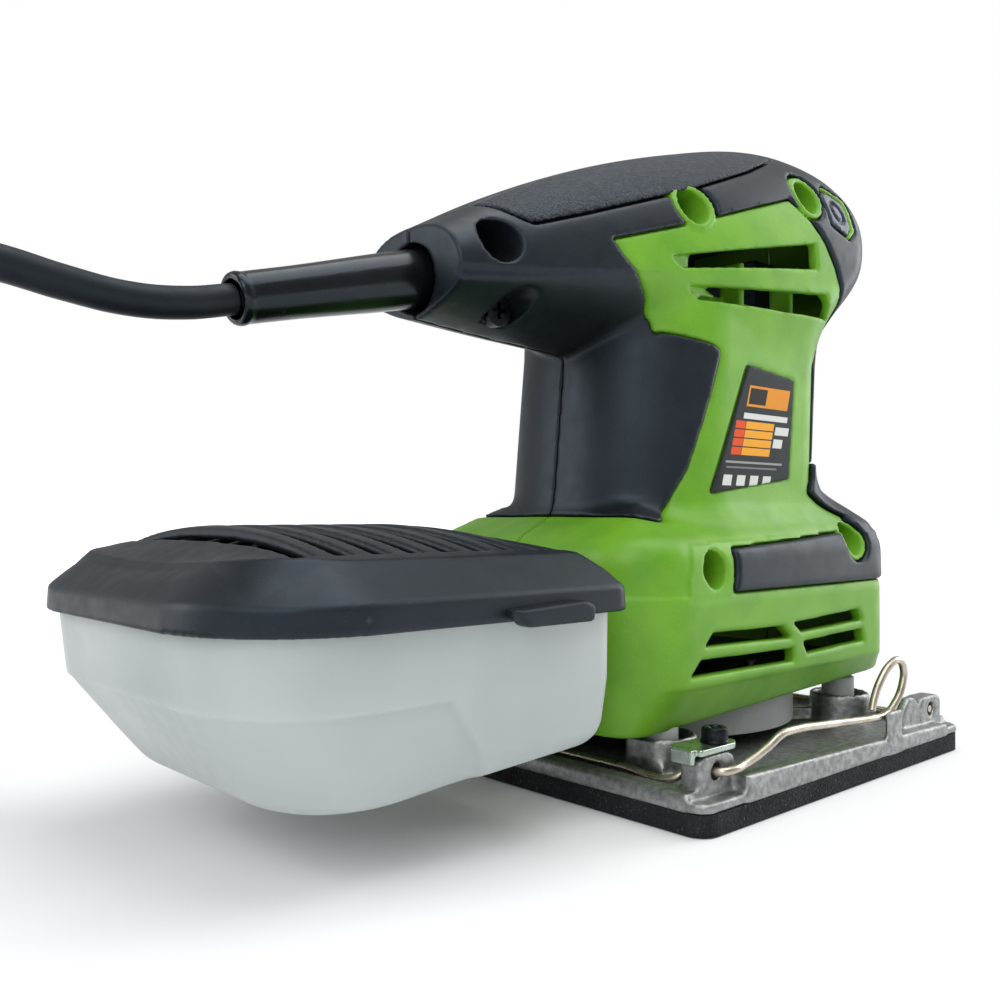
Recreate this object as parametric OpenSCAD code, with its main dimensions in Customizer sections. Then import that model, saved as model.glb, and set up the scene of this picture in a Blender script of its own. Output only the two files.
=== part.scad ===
// Quarter-sheet orbital palm sander with a clip-on dust box.
// X points to the front, where the switch is, Y to the left and Z up.
// The origin is the centre of the foam pad's underside.

/* [Sanding plate] */
// Side of the square pad and plate
pad_side = 110; // [108:0.5:112]
// Thickness of the foam pad
foam_h = 4.2; // [3.8:0.1:4.4]
// Height of the lips at the front and rear of the plate
lip_z = 7.6; // [7:0.1:8.4]
// Height of the cup rims
cup_z = 13.6; // [11:0.1:14]
// How far the plate's centre stands off the motor's axis
orbit_e = 0.8; // [0.5:0.1:0.9]

/* [Housing] */
// Half width of the base
base_half_w = 40; // [39:0.5:42]
// Half width of the neck
neck_half_w = 30; // [29.5:0.5:32]
// Thickness of the housing wall under a cover
wall = 2.5; // [2:0.1:2.6]
// Thickness of the black covers
skin = 2.2; // [1.8:0.1:2.4]
// How far the grip pad stands proud of the handle
grip_h = 0.6; // [0.3:0.1:1]

/* [Clamps] */
// Radius of the clamp wire
wire_r = 0.9; // [0.8:0.05:0.95]
// Height of the clamp wire's pivot
pivot_z = 10.6; // [10.5:0.1:11]

/* [Dust box] */
// Length of the dust box
box_l = 78; // [74:1:80]
// Thickness of the dust box wall
box_wall = 1.8; // [1.4:0.1:2.2]
// Outer radius of the dust spout
spout_r = 10.5; // [9:0.5:10.5]

/* [Cord] */
// Diameter of the cord
cord_d = 5.8; // [5.4:0.1:6]
// Turns in each of the coil's two layers
coil_turns = 3.5; // [3.5:1:3.5]

/* [Hidden] */
$fn = 48;

green = [0.36, 0.62, 0.14];
charcoal = [0.13, 0.14, 0.15];
steel = [0.62, 0.63, 0.62];
copper = [0.72, 0.4, 0.2];
far = 400;          // larger than the whole object
eps = 0.02;         // lets cuts run past a face

// Rings of the base and neck: height, rear end, front end, half width, rear and front corner radius
BODY_RINGS = [
    [16.5, -52, 52.5, base_half_w - 2, 14, 11],
    [22.5, -54, 54.5, base_half_w, 16, 12],
    [46, -53.5, 54, base_half_w, 16, 12],
    [53, -49, 52, base_half_w - 2, 18, 14],
    [57, -43, 48, neck_half_w + 4, 22, 14],
    [61, -39, 44, neck_half_w + 1, 26, 14],
    [66, -37, 40, neck_half_w, 27, 14],
    [93, -35, 37, neck_half_w, 27, 14],
    [104, -34, 37, neck_half_w, 27, 14]];
// Rings of the handle and head: place along X, underside, top, half width
HEAD_RINGS = [
    [-81, 103, 117, 11],
    [-78, 100, 121.5, 15.5],
    [-64, 98, 128.5, 20],
    [-36, 95, 141, 26],
    [-8, 94, 151.4, 31],
    [18, 94, 158.6, 33.2],
    [35, 98, 158.8, 33],
    [45, 103.5, 154.5, 31.2],
    [51, 109.5, 149, 27.5],
    [54.6, 116, 142.5, 20],
    [56.4, 123, 135, 10]];
// Side outline of the black covers: handle, head and the rear of the neck
COVER_OUTLINE = [[-90, 90], [-37, 90], [-41, 61], [-34.5, 60.2], [-28, 62.5], [-12.5, 98],
    [-26.5, 101.8], [-32.5, 109.3], [-44, 119.3], [-23, 125.7], [14.5, 138.7], [22.5, 134],
    [32.5, 124], [36.5, 115], [31, 103], [27, 97], [70, 97], [70, 180], [-90, 180]];
// Side outline of the bumper band and its nose at the front of the neck
BUMPER_OUTLINE = [[-27, 43], [70, 43], [70, 80], [45, 66], [30, 55.5], [-25, 53]];
// Places of the housing screws along X and Z, with how deep their recesses reach from the midplane
SCREWS = [[-71.5, 116, 6], [-63.3, 103.6, 5.5], [-20, 130.6, 18], [22.5, 140.8, 20],
    [-29.2, 48.3, 29], [31.6, 53.8, 29]];
screw_pocket_r = 4.1;
// Side outlines of the cooling slots in the head, and of those in the base
SLOTS = [[[-28.3, 117.9], [23, 128.8], [23.9, 122.5], [-24.5, 115.6]],
    [[-22.4, 112.1], [28.2, 116.7], [31, 110.9], [-18.8, 109.4]]];
BASE_SLOTS = [[[-31, 35], [-4, 34.5], [0, 31.6], [-34, 32.2]],
    [[-35.5, 29.6], [0.5, 29], [1, 26], [-38.7, 26.3]],
    [[0.5, 34.9], [30.5, 36.2], [32.5, 33.3], [4, 32.4]],
    [[4.5, 30.2], [32.6, 31.2], [33.5, 28], [6.5, 27.2]]];

// Motor stack on the Z axis
bearing_low_z = 25;
fan_z = 34;
core_z = 60;
core_h = 34;
comm_z = 103;
comm_h = 11;
bearing_top_z = 116;
shaft_r = 4;
core_r = 14.5;
skirt_screw_y = 28.4;

// Plate
half = pad_side / 2;
floor_z = foam_h + 2;
trough_z = foam_h + 1;
CUPS = [for (x = [-37.5, 37], y = [-31, 31]) [x, y]];
// The posts stand at the middle of the plate's orbit
POSTS = [for (c = CUPS) c - [orbit_e, 0]];
pivot_x = 46;
clamp_drop = 3;
lever_y = half - 2.4;
bracket_in = 46.5;
bracket_out = 51.5;
tab_in = half - 1.1;
clamp_screw_x = 43;
clamp_screw_y = 48.6;
clamp_head_r = 2.6;
// Route of the rear clamp's wire, from its left end to the finger loop
CLAMP_ROUTE = [[-pivot_x, 51, pivot_z], [-pivot_x, 45.4, pivot_z],
    [-pivot_x - clamp_drop, 43, pivot_z - clamp_drop],
    [-pivot_x - clamp_drop, -43, pivot_z - clamp_drop],
    [-pivot_x, -45.4, pivot_z], [-pivot_x, -lever_y, pivot_z], [-39, -lever_y, 11.2],
    [-24, -lever_y, 15.4], [-8, -lever_y, 14.5], [15, -lever_y, 12.4],
    [23, -lever_y, 14.5], [28, -lever_y, 20], [27, -lever_y, 24], [23, -lever_y, 25],
    [14, -lever_y, 21.5], [11, -lever_y, 16]];

// Dust box rings: height, rear end, front end, half width, corner radius
box_x1 = -65;
box_x0 = box_x1 - box_l;
BOX_RINGS = [[12, box_x0 + 19, box_x1 - 20, 33, 12], [14, box_x0 + 13.5, box_x1 - 8.5, 37.4, 14],
    [20, box_x0 + 9, box_x1 - 2.6, 39.8, 16], [30, box_x0 + 2.2, box_x1 - 1.9, 42.4, 19],
    [46, box_x0 + 0.6, box_x1 - 1.6, 44, 20]];
LID_RINGS = [[42.5, box_x0 - 1.6, box_x1 + 0.9, 46.3, 22],
    [46.7, box_x0 - 1.6, box_x1 + 0.9, 46.3, 22],
    [53.2, box_x0 + 6, box_x1 - 6.7, 38.7, 18], [57, box_x0 + 13, box_x1 - 14, 28, 14],
    [58.4, box_x0 + 20, box_x1 - 22, 20, 10]];
spout_z = 31;
seal_h = 2.4;

// Height of the cord inside the handle
lead_z = 110;

// Cord: the route from the strain relief to the coil, and the coil on the floor
relief_slope = 14;
RELIEF_END = [-121, 0, 98.8];
CORD_ROUTE = [RELIEF_END, [-130, 0, 96.9], [-140, 0, 96.2], [-150, 0, 97.2], [-160, 0, 98.8],
    [-170, -1, 99.2], [-180, -3, 96.4], [-189, -5, 90.2], [-196, -7, 81.2], [-201, -9, 70.4],
    [-204.5, -11, 58.6], [-207, -13, 46.4], [-210, -15, 34.4], [-214.5, -17, 23.2],
    [-221.5, -18.6, 13.6], [-230, -19.8, 6.8], [-239, -20.4, 3.6], [-248, -20.6, cord_d / 2]];
coil_x = -248;
coil_r_in = 24.3;
coil_r_out = coil_r_in + coil_turns * cord_d;
coil_y = -20.6 + coil_r_out;
plug_z = 13;
plug_x = coil_x + 20;

// ---- shapes shared by several sub-parts ----

// A rounded rectangle's points, six to a corner
function round_rect(x0, x1, hw, rear_r, front_r) =
    let (r0 = rear_r, r1 = is_undef(front_r) ? rear_r : front_r)
    [for (c = [[x1 - r1, -hw + r1, -90, r1], [x1 - r1, hw - r1, 0, r1], [x0 + r0, hw - r0, 90, r0],
               [x0 + r0, -hw + r0, 180, r0]], i = [0:5])
        [c[0] + c[3] * cos(c[2] + 18 * i), c[1] + c[3] * sin(c[2] + 18 * i)]];

// Points of a rounded section across X, from its underside, top and half width
function section(x, z0, z1, hw, n = 2.4, count = 24) =
    [for (i = [0:count - 1]) let (a = 360 * i / count, c = cos(a), s = sin(a))
        [x, hw * sign(c) * pow(abs(c), 2 / n),
         (z0 + z1) / 2 + (z1 - z0) / 2 * sign(s) * pow(abs(s), 2 / n)]];

// Skins a closed solid over rings that hold the same number of points
module loft(rings) {
    n = len(rings[0]);
    last = len(rings) - 1;
    polyhedron(
        points = [for (r = rings) each r],
        faces = concat([[for (i = [0:n - 1]) i]],
            [for (k = [0:last - 1], i = [0:n - 1], t = [0, 1]) let (a = k * n + i, b = k * n + (i + 1) % n)
                t == 0 ? [a, a + n, b] : [b, a + n, b + n]],
            [[for (i = [n - 1:-1:0]) last * n + i]]));
}

// A loft over rounded rectangles, drawn in by inset; foot moves the first ring down
module upright_loft(rings, inset = 0, foot = 0, top = 0)
    loft([for (k = [0:len(rings) - 1]) let (q = rings[k],
            z = q[0] - (k == 0 ? foot : 0) - (k == len(rings) - 1 ? top : 0))
        [for (p = round_rect(q[1] + inset, q[2] - inset, q[3] - inset, q[4] - inset,
                (is_undef(q[5]) ? q[4] : q[5]) - inset)) [p[0], p[1], z]]]);

// The base and neck, and the handle and head, drawn in by inset
module body_form(inset = 0, foot = 0) upright_loft(BODY_RINGS, inset, foot);
module head_form(inset = 0) loft([for (k = [0:len(HEAD_RINGS) - 1])
    let (q = HEAD_RINGS[k], t = k / (len(HEAD_RINGS) - 1))
    section(q[0] + inset * (1 - 2 * t), q[1] + inset * 0.9, q[2] - inset * 0.9, q[3] - inset)]);

module outer_form(inset = 0, foot = 0) {
    body_form(inset, foot);
    head_form(inset);
}

// Extrudes a side outline right across the object
module across(outline, y0 = -far, y1 = far)
    translate([0, y1, 0]) rotate([90, 0, 0]) linear_extrude(y1 - y0) polygon(outline);

// A cylinder along Y between two places
module y_rod(x, z, r, y0, y1) translate([x, y0, z]) rotate([-90, 0, 0]) cylinder(r = r, h = y1 - y0);

// Keeps the half on one side of the midplane: -1 right, 1 left
module half_space(side) translate([-far, side < 0 ? -far : 0, -far]) cube([2 * far, far, 2 * far]);

// Directions along a route, and normals carried from ring to ring without twisting
function unit(v) = v / norm(v);
function along(route, i) = unit(route[min(i + 1, len(route) - 1)] - route[max(i - 1, 0)]);
function carried(u, t) = unit(u - (u * t) * t);
function normals(route, u, i = 0) = i == len(route) ? [] :
    let (v = carried(u, along(route, i))) concat([v], normals(route, v, i + 1));

// A route with each corner rounded by a curve that starts up to cut before it
function rounded(route, cut, steps = 4) = concat([route[0]],
    [for (i = [1:len(route) - 2]) let (p = route[i], a = route[i - 1] - p, b = route[i + 1] - p,
        pa = p + unit(a) * min(cut, norm(a) / 2.1), pb = p + unit(b) * min(cut, norm(b) / 2.1))
        for (k = [0:steps]) let (t = k / steps) pa * (1 - t) ^ 2 + p * 2 * t * (1 - t) + pb * t ^ 2],
    [route[len(route) - 1]]);

// A round tube swept along a route; start is a direction square to its first stretch
module tube(route, r, sides, start) {
    us = normals(route, start);
    loft([for (i = [0:len(route) - 1]) let (v = cross(along(route, i), us[i]))
        [for (k = [0:sides - 1]) let (a = 360 * k / sides)
            route[i] + r * (cos(a) * us[i] + sin(a) * v)]]);
}

module ring(r_out, r_in, z0, z1) difference() {
    translate([0, 0, z0]) cylinder(r = r_out, h = z1 - z0);
    translate([0, 0, z0 - 1]) cylinder(r = r_in, h = z1 - z0 + 2);
}

// ---- housing ----

module vents(side) {
    for (s = SLOTS) across(s, side < 0 ? -far : 12, side < 0 ? -12 : far);
    for (s = BASE_SLOTS) across(s, side < 0 ? -far : 24, side < 0 ? -24 : far);
}

// Pillars that the screws pass through, wider round the pockets
module bosses(side) for (s = SCREWS) {
    y_rod(s[0], s[1], 2.6, side < 0 ? -far : 0, side < 0 ? 0 : far);
    y_rod(s[0], s[1], 5, side < 0 ? -far : s[2] - 1, side < 0 ? 1 - s[2] : far);
}

module screw_pockets() for (s = SCREWS) y_rod(s[0], s[1], screw_pocket_r, -far, -s[2]);
module screw_bores() for (s = SCREWS) y_rod(s[0], s[1], 1.75, -far, s[2] - 2);

module relief_path(r) translate(RELIEF_END) rotate([0, 90 - relief_slope, 0])
    translate([0, 0, -2]) cylinder(r = r, h = 48.4);

module slider_way(r) y_rod(38, 138, r, -far, far);

module housing_half(side) color(green) difference() {
    union() {
        intersection() {
            difference() {
                outer_form();
                intersection() {
                    union() { across(COVER_OUTLINE); across(BUMPER_OUTLINE); }
                    difference() { outer_form(); outer_form(skin); }
                }
                outer_form(skin + wall, 10);
            }
            half_space(side);
        }
        intersection() {
            union() {
                bosses(side);
                // Bridge that holds the upper bearing
                translate([-15, side < 0 ? -26 : 0, bearing_top_z - 1]) cube([30, 26, 8]);
            }
            outer_form(skin);
        }
    }
    translate([0, 0, bearing_top_z]) cylinder(r = 9.5, h = 20);
    translate([0, 0, bearing_top_z - 5]) cylinder(r = 6, h = 20);
    vents(side);
    if (side < 0) screw_pockets();
    screw_bores();
    relief_path(5.6);
    slider_way(7.4);
    for (c = POSTS) translate([c[0], c[1], 0]) cylinder(r = 6.6, h = 20);
    translate([-60, 0, spout_z]) rotate([0, 90, 0]) cylinder(r = spout_r, h = 14);
}
module right_housing() housing_half(-1);
module left_housing() housing_half(1);

module cover_half(side) color(charcoal) difference() {
    intersection() {
        difference() { outer_form(); outer_form(skin); }
        across(COVER_OUTLINE);
        half_space(side);
    }
    if (side < 0) screw_pockets();
    screw_bores();
    relief_path(5.6);
    slider_way(7.4);
}
module right_cover() cover_half(-1);
module left_cover() cover_half(1);

module grip_pad() color([0.16, 0.17, 0.18]) intersection() {
    difference() { head_form(-grip_h); head_form(0); }
    translate([0, 0, 118]) linear_extrude(60)
        polygon([[-66, 0], [-52, -13], [-20, -17], [18, -17], [24, 0], [18, 17], [-20, 17], [-52, 13]]);
}

module bumper() color(charcoal) difference() {
    intersection() {
        difference() { body_form(); body_form(skin); }
        across(BUMPER_OUTLINE);
    }
    screw_pockets();
}

module rating_label() color([0.1, 0.1, 0.11])
    across([[-3, 95], [13, 94], [12, 69], [-7, 67]], -neck_half_w - 0.4, -neck_half_w);

module housing_screws() color([0.25, 0.25, 0.26]) for (s = SCREWS) difference() {
    union() {
        y_rod(s[0], s[1], 3.4, -s[2] - 2.4, -s[2]);
        y_rod(s[0], s[1], 1.75, -s[2], s[2] - 3);
    }
    translate([s[0], -s[2] - 2.4, s[1]]) for (a = [0, 90]) rotate([0, a, 0])
        cube([3.6, 2.4, 0.9], center = true);
}

module strain_relief() color([0.05, 0.05, 0.06]) difference() {
    translate(RELIEF_END) rotate([0, 90 - relief_slope, 0]) {
        cylinder(r1 = 4.2, r2 = 5.5, h = 42);
        translate([0, 0, 42]) cylinder(r = 5.6, h = 4);
    }
    translate(RELIEF_END) rotate([0, 90 - relief_slope, 0])
        translate([0, 0, 38]) cylinder(r = cord_d / 2, h = 12);
}

// The cord's own end inside the handle, from the relief through the clamp
function up_relief(l) = RELIEF_END + l * [cos(relief_slope), 0, sin(relief_slope)];
module inner_lead() color([0.05, 0.05, 0.06])
    tube([up_relief(38), up_relief(46), [-70, 0, lead_z + 0.1], [-62, 0, lead_z], [-44, 0, lead_z]],
        cord_d / 2 - eps, 10, [0, 1, 0]);

module cord_clamp() color([0.2, 0.2, 0.2]) difference() {
    translate([-58, -9, lead_z - 5.5]) cube([8, 18, 11]);
    translate([-59, 0, lead_z]) rotate([0, 90, 0]) cylinder(r = cord_d / 2, h = 10);
    for (y = [-6, 6]) translate([-54, y, lead_z - 6]) cylinder(r = 1.5, h = 12);
}
module cord_clamp_screws() color(steel) for (y = [-6, 6]) translate([-54, y, lead_z - 5]) {
    cylinder(r = 1.5, h = 10.5);
    translate([0, 0, 10.5]) cylinder(r = 2.6, h = 2);
}

module switch_body() color([0.15, 0.15, 0.16]) translate([31, -9, 116]) cube([14, 18, 14.4]);
module capacitor() color([0.75, 0.65, 0.2]) translate([-52, -6, 118]) cube([14, 12, 8]);

// ---- motor ----

module field_core() color(steel) difference() {
    intersection() {
        translate([0, 0, core_z]) cylinder(r = 26, h = core_h);
        translate([-30, -24, core_z - 1]) cube([60, 48, core_h + 2]);
    }
    translate([0, 0, core_z - 1]) cylinder(r = core_r + 0.7, h = core_h + 2);
}
module field_coils() color(copper) for (z = [core_z - 7, core_z + core_h]) ring(21, core_r + 0.7, z, z + 7);

module brush_holders() color([0.75, 0.6, 0.25]) for (s = [-1, 1]) difference() {
    translate([-4.5, s * 14.6 - 4.9, comm_z + 1]) cube([9, 9.8, 9]);
    translate([-3, s * 14.6 - 6, comm_z + 2.5]) cube([6, 12, 6]);
}
module carbon_brushes() color([0.1, 0.1, 0.1]) for (s = [-1, 1])
    translate([-2.95, s * 12.5 - 3.3, comm_z + 2.55]) cube([5.9, 6.6, 5.9]);
module brush_springs() color(steel) for (s = [-1, 1])
    y_rod(0, comm_z + 5.5, 2.2, s < 0 ? -19.4 : 15.8, s < 0 ? -15.8 : 19.4);

module upper_bearing() color(steel) ring(9.5, shaft_r - 0.45, bearing_top_z, bearing_top_z + 6);
module lower_bearing() color(steel) ring(11, shaft_r + 0.05, bearing_low_z, bearing_low_z + 7);

module armature_shaft() color([0.7, 0.7, 0.72]) {
    translate([0, 0, 15.2]) cylinder(r = shaft_r, h = bearing_top_z - 16.2);
    translate([0, 0, bearing_top_z - 1]) cylinder(r = shaft_r - 0.5, h = 8);
    translate([orbit_e, 0, 6.3]) cylinder(r = 6, h = 9.1);
}
module armature_core() color(steel) difference() {
    translate([0, 0, core_z]) cylinder(r = core_r, h = core_h);
    for (a = [0:30:330]) rotate(a) translate([12, -0.9, core_z - 1]) cube([6, 1.8, core_h + 2]);
    translate([0, 0, core_z - 1]) cylinder(r = shaft_r, h = core_h + 2);
}
module armature_windings() color(copper) for (z = [core_z - 7, core_z + core_h])
    ring(13, shaft_r, z, z + 7);
module commutator() color([0.8, 0.5, 0.3]) difference() {
    ring(9, shaft_r, comm_z, comm_z + comm_h);
    for (a = [0:15:345]) rotate(a) translate([8.4, -0.3, comm_z + 1]) cube([2, 0.6, comm_h]);
}
module cooling_fan() color([0.1, 0.1, 0.1]) {
    ring(29, shaft_r, fan_z, fan_z + 2);
    ring(7, shaft_r, fan_z + 2, fan_z + 9);
    for (a = [0:30:330]) rotate(a) translate([7 - eps, -0.8, fan_z + 2 - eps]) cube([21, 1.6, 7]);
}
module counterweight() color([0.45, 0.45, 0.46]) difference() {
    union() {
        translate([0, 0, 15.6]) cylinder(r = 9, h = 3.6);
        intersection() {
            translate([0, 0, 15.6]) cylinder(r = 24, h = 3.6);
            translate([-25, -20, 15]) cube([22, 40, 6]);
        }
    }
    translate([0, 0, 15]) cylinder(r = shaft_r, h = 6);
}
module bearing_screw() color([0.3, 0.3, 0.31]) translate([orbit_e, 0, 0]) {
    translate([0, 0, 5.4]) cylinder(r = 7, h = 0.9);
    translate([0, 0, 4.6]) cylinder(r = 3.5, h = 0.8 + eps, $fn = 6);
}

// ---- underside of the housing ----

module base_plate() color([0.12, 0.12, 0.13]) difference() {
    union() {
        translate([0, 0, 20]) linear_extrude(3) polygon(round_rect(-48.6, 49, base_half_w - 5.6, 10));
        translate([0, 0, 23]) cylinder(r = 14, h = bearing_low_z - 23 + 7);
    }
    translate([0, 0, bearing_low_z]) cylinder(r = 11, h = 10);
    translate([0, 0, 19]) cylinder(r = 6, h = 8);
    for (c = POSTS) translate([c[0], c[1], 19]) cylinder(r = 2, h = 6);
    for (s = [-1, 1]) translate([0, s * skirt_screw_y, 19]) cylinder(r = 1.6, h = 6);
    // Way for the dust, up into the spout
    translate([-33, 0, 19]) cylinder(r = 5, h = 6);
}
module base_plate_screws() color(steel) for (s = [-1, 1]) translate([0, s * skirt_screw_y, 0]) {
    translate([0, 0, 16]) cylinder(r = 2.6, h = 2);
    translate([0, 0, 18]) cylinder(r = 1.6, h = 7);
}
module flexible_posts() color([0.62, 0.62, 0.58]) for (c = POSTS) difference() {
    union() {
        translate([c[0], c[1], 7.4]) cylinder(r = 5, h = 12.6);
        translate([c[0], c[1], 16.5]) cylinder(r = 6.4, h = 3.5);
    }
    translate([c[0], c[1], 9]) cylinder(r = 2, h = 12);
}
module post_screws() color(steel) for (c = POSTS) translate([c[0], c[1], 0]) {
    translate([0, 0, 9.2]) cylinder(r = 2, h = 13.8);
    translate([0, 0, 23]) cylinder(r = 3.6, h = 2.4);
}
module dust_skirt() color([0.5, 0.5, 0.5]) difference() {
    union() {
        ring(34, 31.5, 9.4, 20);
        ring(34, 25.6, 18, 20);
    }
    for (s = [-1, 1]) translate([0, s * skirt_screw_y, 17]) cylinder(r = 1.6, h = 4);
}
module dust_spout() color(charcoal) translate([0, 0, spout_z]) rotate([0, -90, 0]) difference() {
    union() {
        translate([0, 0, 49.2]) cylinder(r = spout_r, h = 22.8);
        translate([0, 0, 54]) cylinder(r = spout_r + 3, h = 1.8);
    }
    translate([0, 0, 45]) cylinder(r = spout_r - 2, h = 30);
}

// ---- sanding plate ----

// A pierced ear that carries the clamp wire at one corner
module ear(x, y) translate([x, y, foam_h]) cube([11, bracket_out - bracket_in, 14 - foam_h]);

module sanding_plate() color([0.6, 0.6, 0.6]) difference() {
    union() {
        translate([0, 0, foam_h]) linear_extrude(floor_z - foam_h)
            polygon(round_rect(-half, half, half, 4));
        for (turn = [0, 180]) rotate(turn) {
            translate([-half, -half + 4, foam_h]) cube([5, pad_side - 8, lip_z - foam_h]);
            translate([-33, -half, foam_h]) cube([48, 4.2, 9.3 - foam_h]);
            translate([16, -half, foam_h]) cube([8, half - tab_in, 14.2 - foam_h]);
            ear(-51, -bracket_out);
            ear(-51, bracket_in);
        }
        for (c = CUPS) translate([c[0], c[1], foam_h]) cylinder(r = 7, h = cup_z - foam_h);
        translate([0, 0, foam_h]) cylinder(r = 17, h = 14.4 - foam_h);
    }
    for (turn = [0, 180]) rotate(turn) {
        translate([-50, -46.4, trough_z]) cube([5.8, 92.8, 10]);
        for (y = [-54, 45]) y_rod(-pivot_x, pivot_z, wire_r + 0.05, y, y + 9);
    }
    for (turn = [0, 180]) rotate(turn) translate([-clamp_screw_x, -clamp_screw_y, 9]) cylinder(r = 1.6, h = 8);
    for (c = CUPS) translate([c[0], c[1], floor_z]) cylinder(r = 6.1, h = 12);
    translate([orbit_e, 0, 6.2]) cylinder(r = 14, h = 12);
    translate([orbit_e, 0, foam_h - 1]) cylinder(r = 8.5, h = 4);
    dust_holes();
}
module dust_holes() for (a = [0:60:300]) rotate(a) translate([24, 0, -1]) cylinder(r = 4, h = 20);
module foam_pad() color([0.08, 0.08, 0.09]) difference() {
    linear_extrude(foam_h) polygon(round_rect(-half, half, half, 4));
    dust_holes();
}
module eccentric_bearing() color(steel) translate([orbit_e, 0, 0]) ring(14, 6.05, 6.4, 14.3);
module clamp_plates() color([0.6, 0.64, 0.58]) for (turn = [0, 180]) rotate(turn) difference() {
    translate([-51, -bracket_out, 14]) cube([12, 7.5, 1.4]);
    translate([-clamp_screw_x, -clamp_screw_y, 10]) cylinder(r = 1.6, h = 8);
}
module clamp_screws() color([0.15, 0.15, 0.16]) for (turn = [0, 180]) rotate(turn)
    translate([-clamp_screw_x, -clamp_screw_y, 0]) difference() {
        union() {
            translate([0, 0, 9.4]) cylinder(r = 1.6, h = 6);
            translate([0, 0, 15.4]) cylinder(r = clamp_head_r, h = 2.2);
        }
        translate([0, 0, 17.6]) for (a = [0, 90]) rotate(a) cube([3.4, 0.8, 2], center = true);
    }

module clamp_wire() color([0.72, 0.66, 0.56]) tube(rounded(CLAMP_ROUTE, 1), wire_r, 10, [1, 0, 0]);
module rear_clamp_wire() clamp_wire();
module front_clamp_wire() rotate(180) clamp_wire();

module switch_slider() color([0.2, 0.2, 0.21]) {
    y_rod(38, 138, 6.6, -29.5, 29.5);
    translate([36, -4, 130.6]) cube([4, 8, 4]);
}

// ---- dust box ----

module box_form(inset = 0, top = 0) upright_loft(BOX_RINGS, inset, -inset, top);
module dust_box() color([0.9, 0.9, 0.88]) difference() {
    box_form();
    box_form(box_wall, -5);
    translate([-80, 0, spout_z]) rotate([0, 90, 0]) cylinder(r = spout_r + seal_h, h = 20);
}
module port_seal() color([0.1, 0.1, 0.1]) translate([0, 0, spout_z]) rotate([0, -90, 0])
    ring(spout_r + seal_h, spout_r + 0.05, 1.8 - box_x1, 5.4 - box_x1);
module box_latch() color(charcoal) translate([-89, -48.9, 42.6]) difference() {
    cube([18, 2.6, 3.6]);
    for (x = [4:3:14]) translate([x, -0.4, -1]) cube([1, 0.8, 6]);
}

module lid_slots() for (i = [0:8], s = [-1, 1])
    translate([-129.5 + 7.1 * i, s < 0 ? -30 : 2.5, 44]) cube([2.8, 27.5, 30]);
module dust_box_lid() color(charcoal) difference() {
    upright_loft(LID_RINGS);
    upright_loft(LID_RINGS, 2, 5, 2);
    lid_slots();
}
module filter_sheet() color([0.2, 0.2, 0.21])
    translate([0, 0, 46]) linear_extrude(1.6)
        polygon(round_rect(box_x0 + 2.2, box_x1 - 2.8, 42.6, 19));

// ---- cord ----

module cord_lead() color([0.05, 0.05, 0.06]) tube(CORD_ROUTE, cord_d / 2, 10, [0, 1, 0]);
module cord_coil() color([0.05, 0.05, 0.06]) translate([coil_x, coil_y, 0]) rotate_extrude()
    translate([coil_r_in - cord_d / 2, 0]) square([coil_r_out - coil_r_in + cord_d, 2 * cord_d]);
module cord_tie() color([0.85, 0.85, 0.85]) translate([coil_x - 34, coil_y, 0]) difference() {
    translate([-15, -2.5, 0]) cube([30, 5, 2 * cord_d + 1.2]);
    translate([-14, -3, -1]) cube([28, 6, 2 * cord_d + 1]);
}
plug_y = coil_y + coil_r_out;
module mains_plug() color([0.05, 0.05, 0.06]) translate([plug_x, plug_y, plug_z]) rotate([0, 90, 0])
    intersection() {
        union() {
            cylinder(r1 = 4.4, r2 = 6.2, h = 22);
            translate([0, 0, 22]) cylinder(r1 = 9, r2 = 17.6, h = 12);
            translate([0, 0, 34]) cylinder(r = 17.6, h = 20);
        }
        translate([-13, -20, -1]) cube([26, 40, 60]);
    }
module plug_pins() color(steel) for (s = [-1, 1])
    translate([plug_x + 54, plug_y + s * 9.5, plug_z]) rotate([0, 90, 0]) {
        cylinder(r = 2.4, h = 17.5);
        translate([0, 0, 17.5]) cylinder(r1 = 2.4, r2 = 1.4, h = 1.5);
    }

right_housing();
left_housing();
right_cover();
left_cover();
grip_pad();
bumper();
rating_label();
housing_screws();
strain_relief();
inner_lead();
cord_clamp();
cord_clamp_screws();
switch_body();
capacitor();
field_core();
field_coils();
brush_holders();
carbon_brushes();
brush_springs();
upper_bearing();
lower_bearing();
base_plate();
base_plate_screws();
flexible_posts();
post_screws();
dust_skirt();
dust_spout();
armature_shaft();
armature_core();
armature_windings();
commutator();
cooling_fan();
counterweight();
bearing_screw();
sanding_plate();
foam_pad();
eccentric_bearing();
clamp_plates();
clamp_screws();
rear_clamp_wire();
front_clamp_wire();
switch_slider();
dust_box();
port_seal();
box_latch();
dust_box_lid();
filter_sheet();
cord_lead();
cord_coil();
cord_tie();
mains_plug();
plug_pins();
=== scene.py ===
"""Orbital palm sander: the looks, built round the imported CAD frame.

Moulded and cast pieces are sculpted as distance fields in millimetres, meshed on a fine grid and
given procedural materials. Wires and the cord are curves."""

import math

import bpy
import numpy as np
import openvdb
from mathutils import Matrix, Vector


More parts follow.
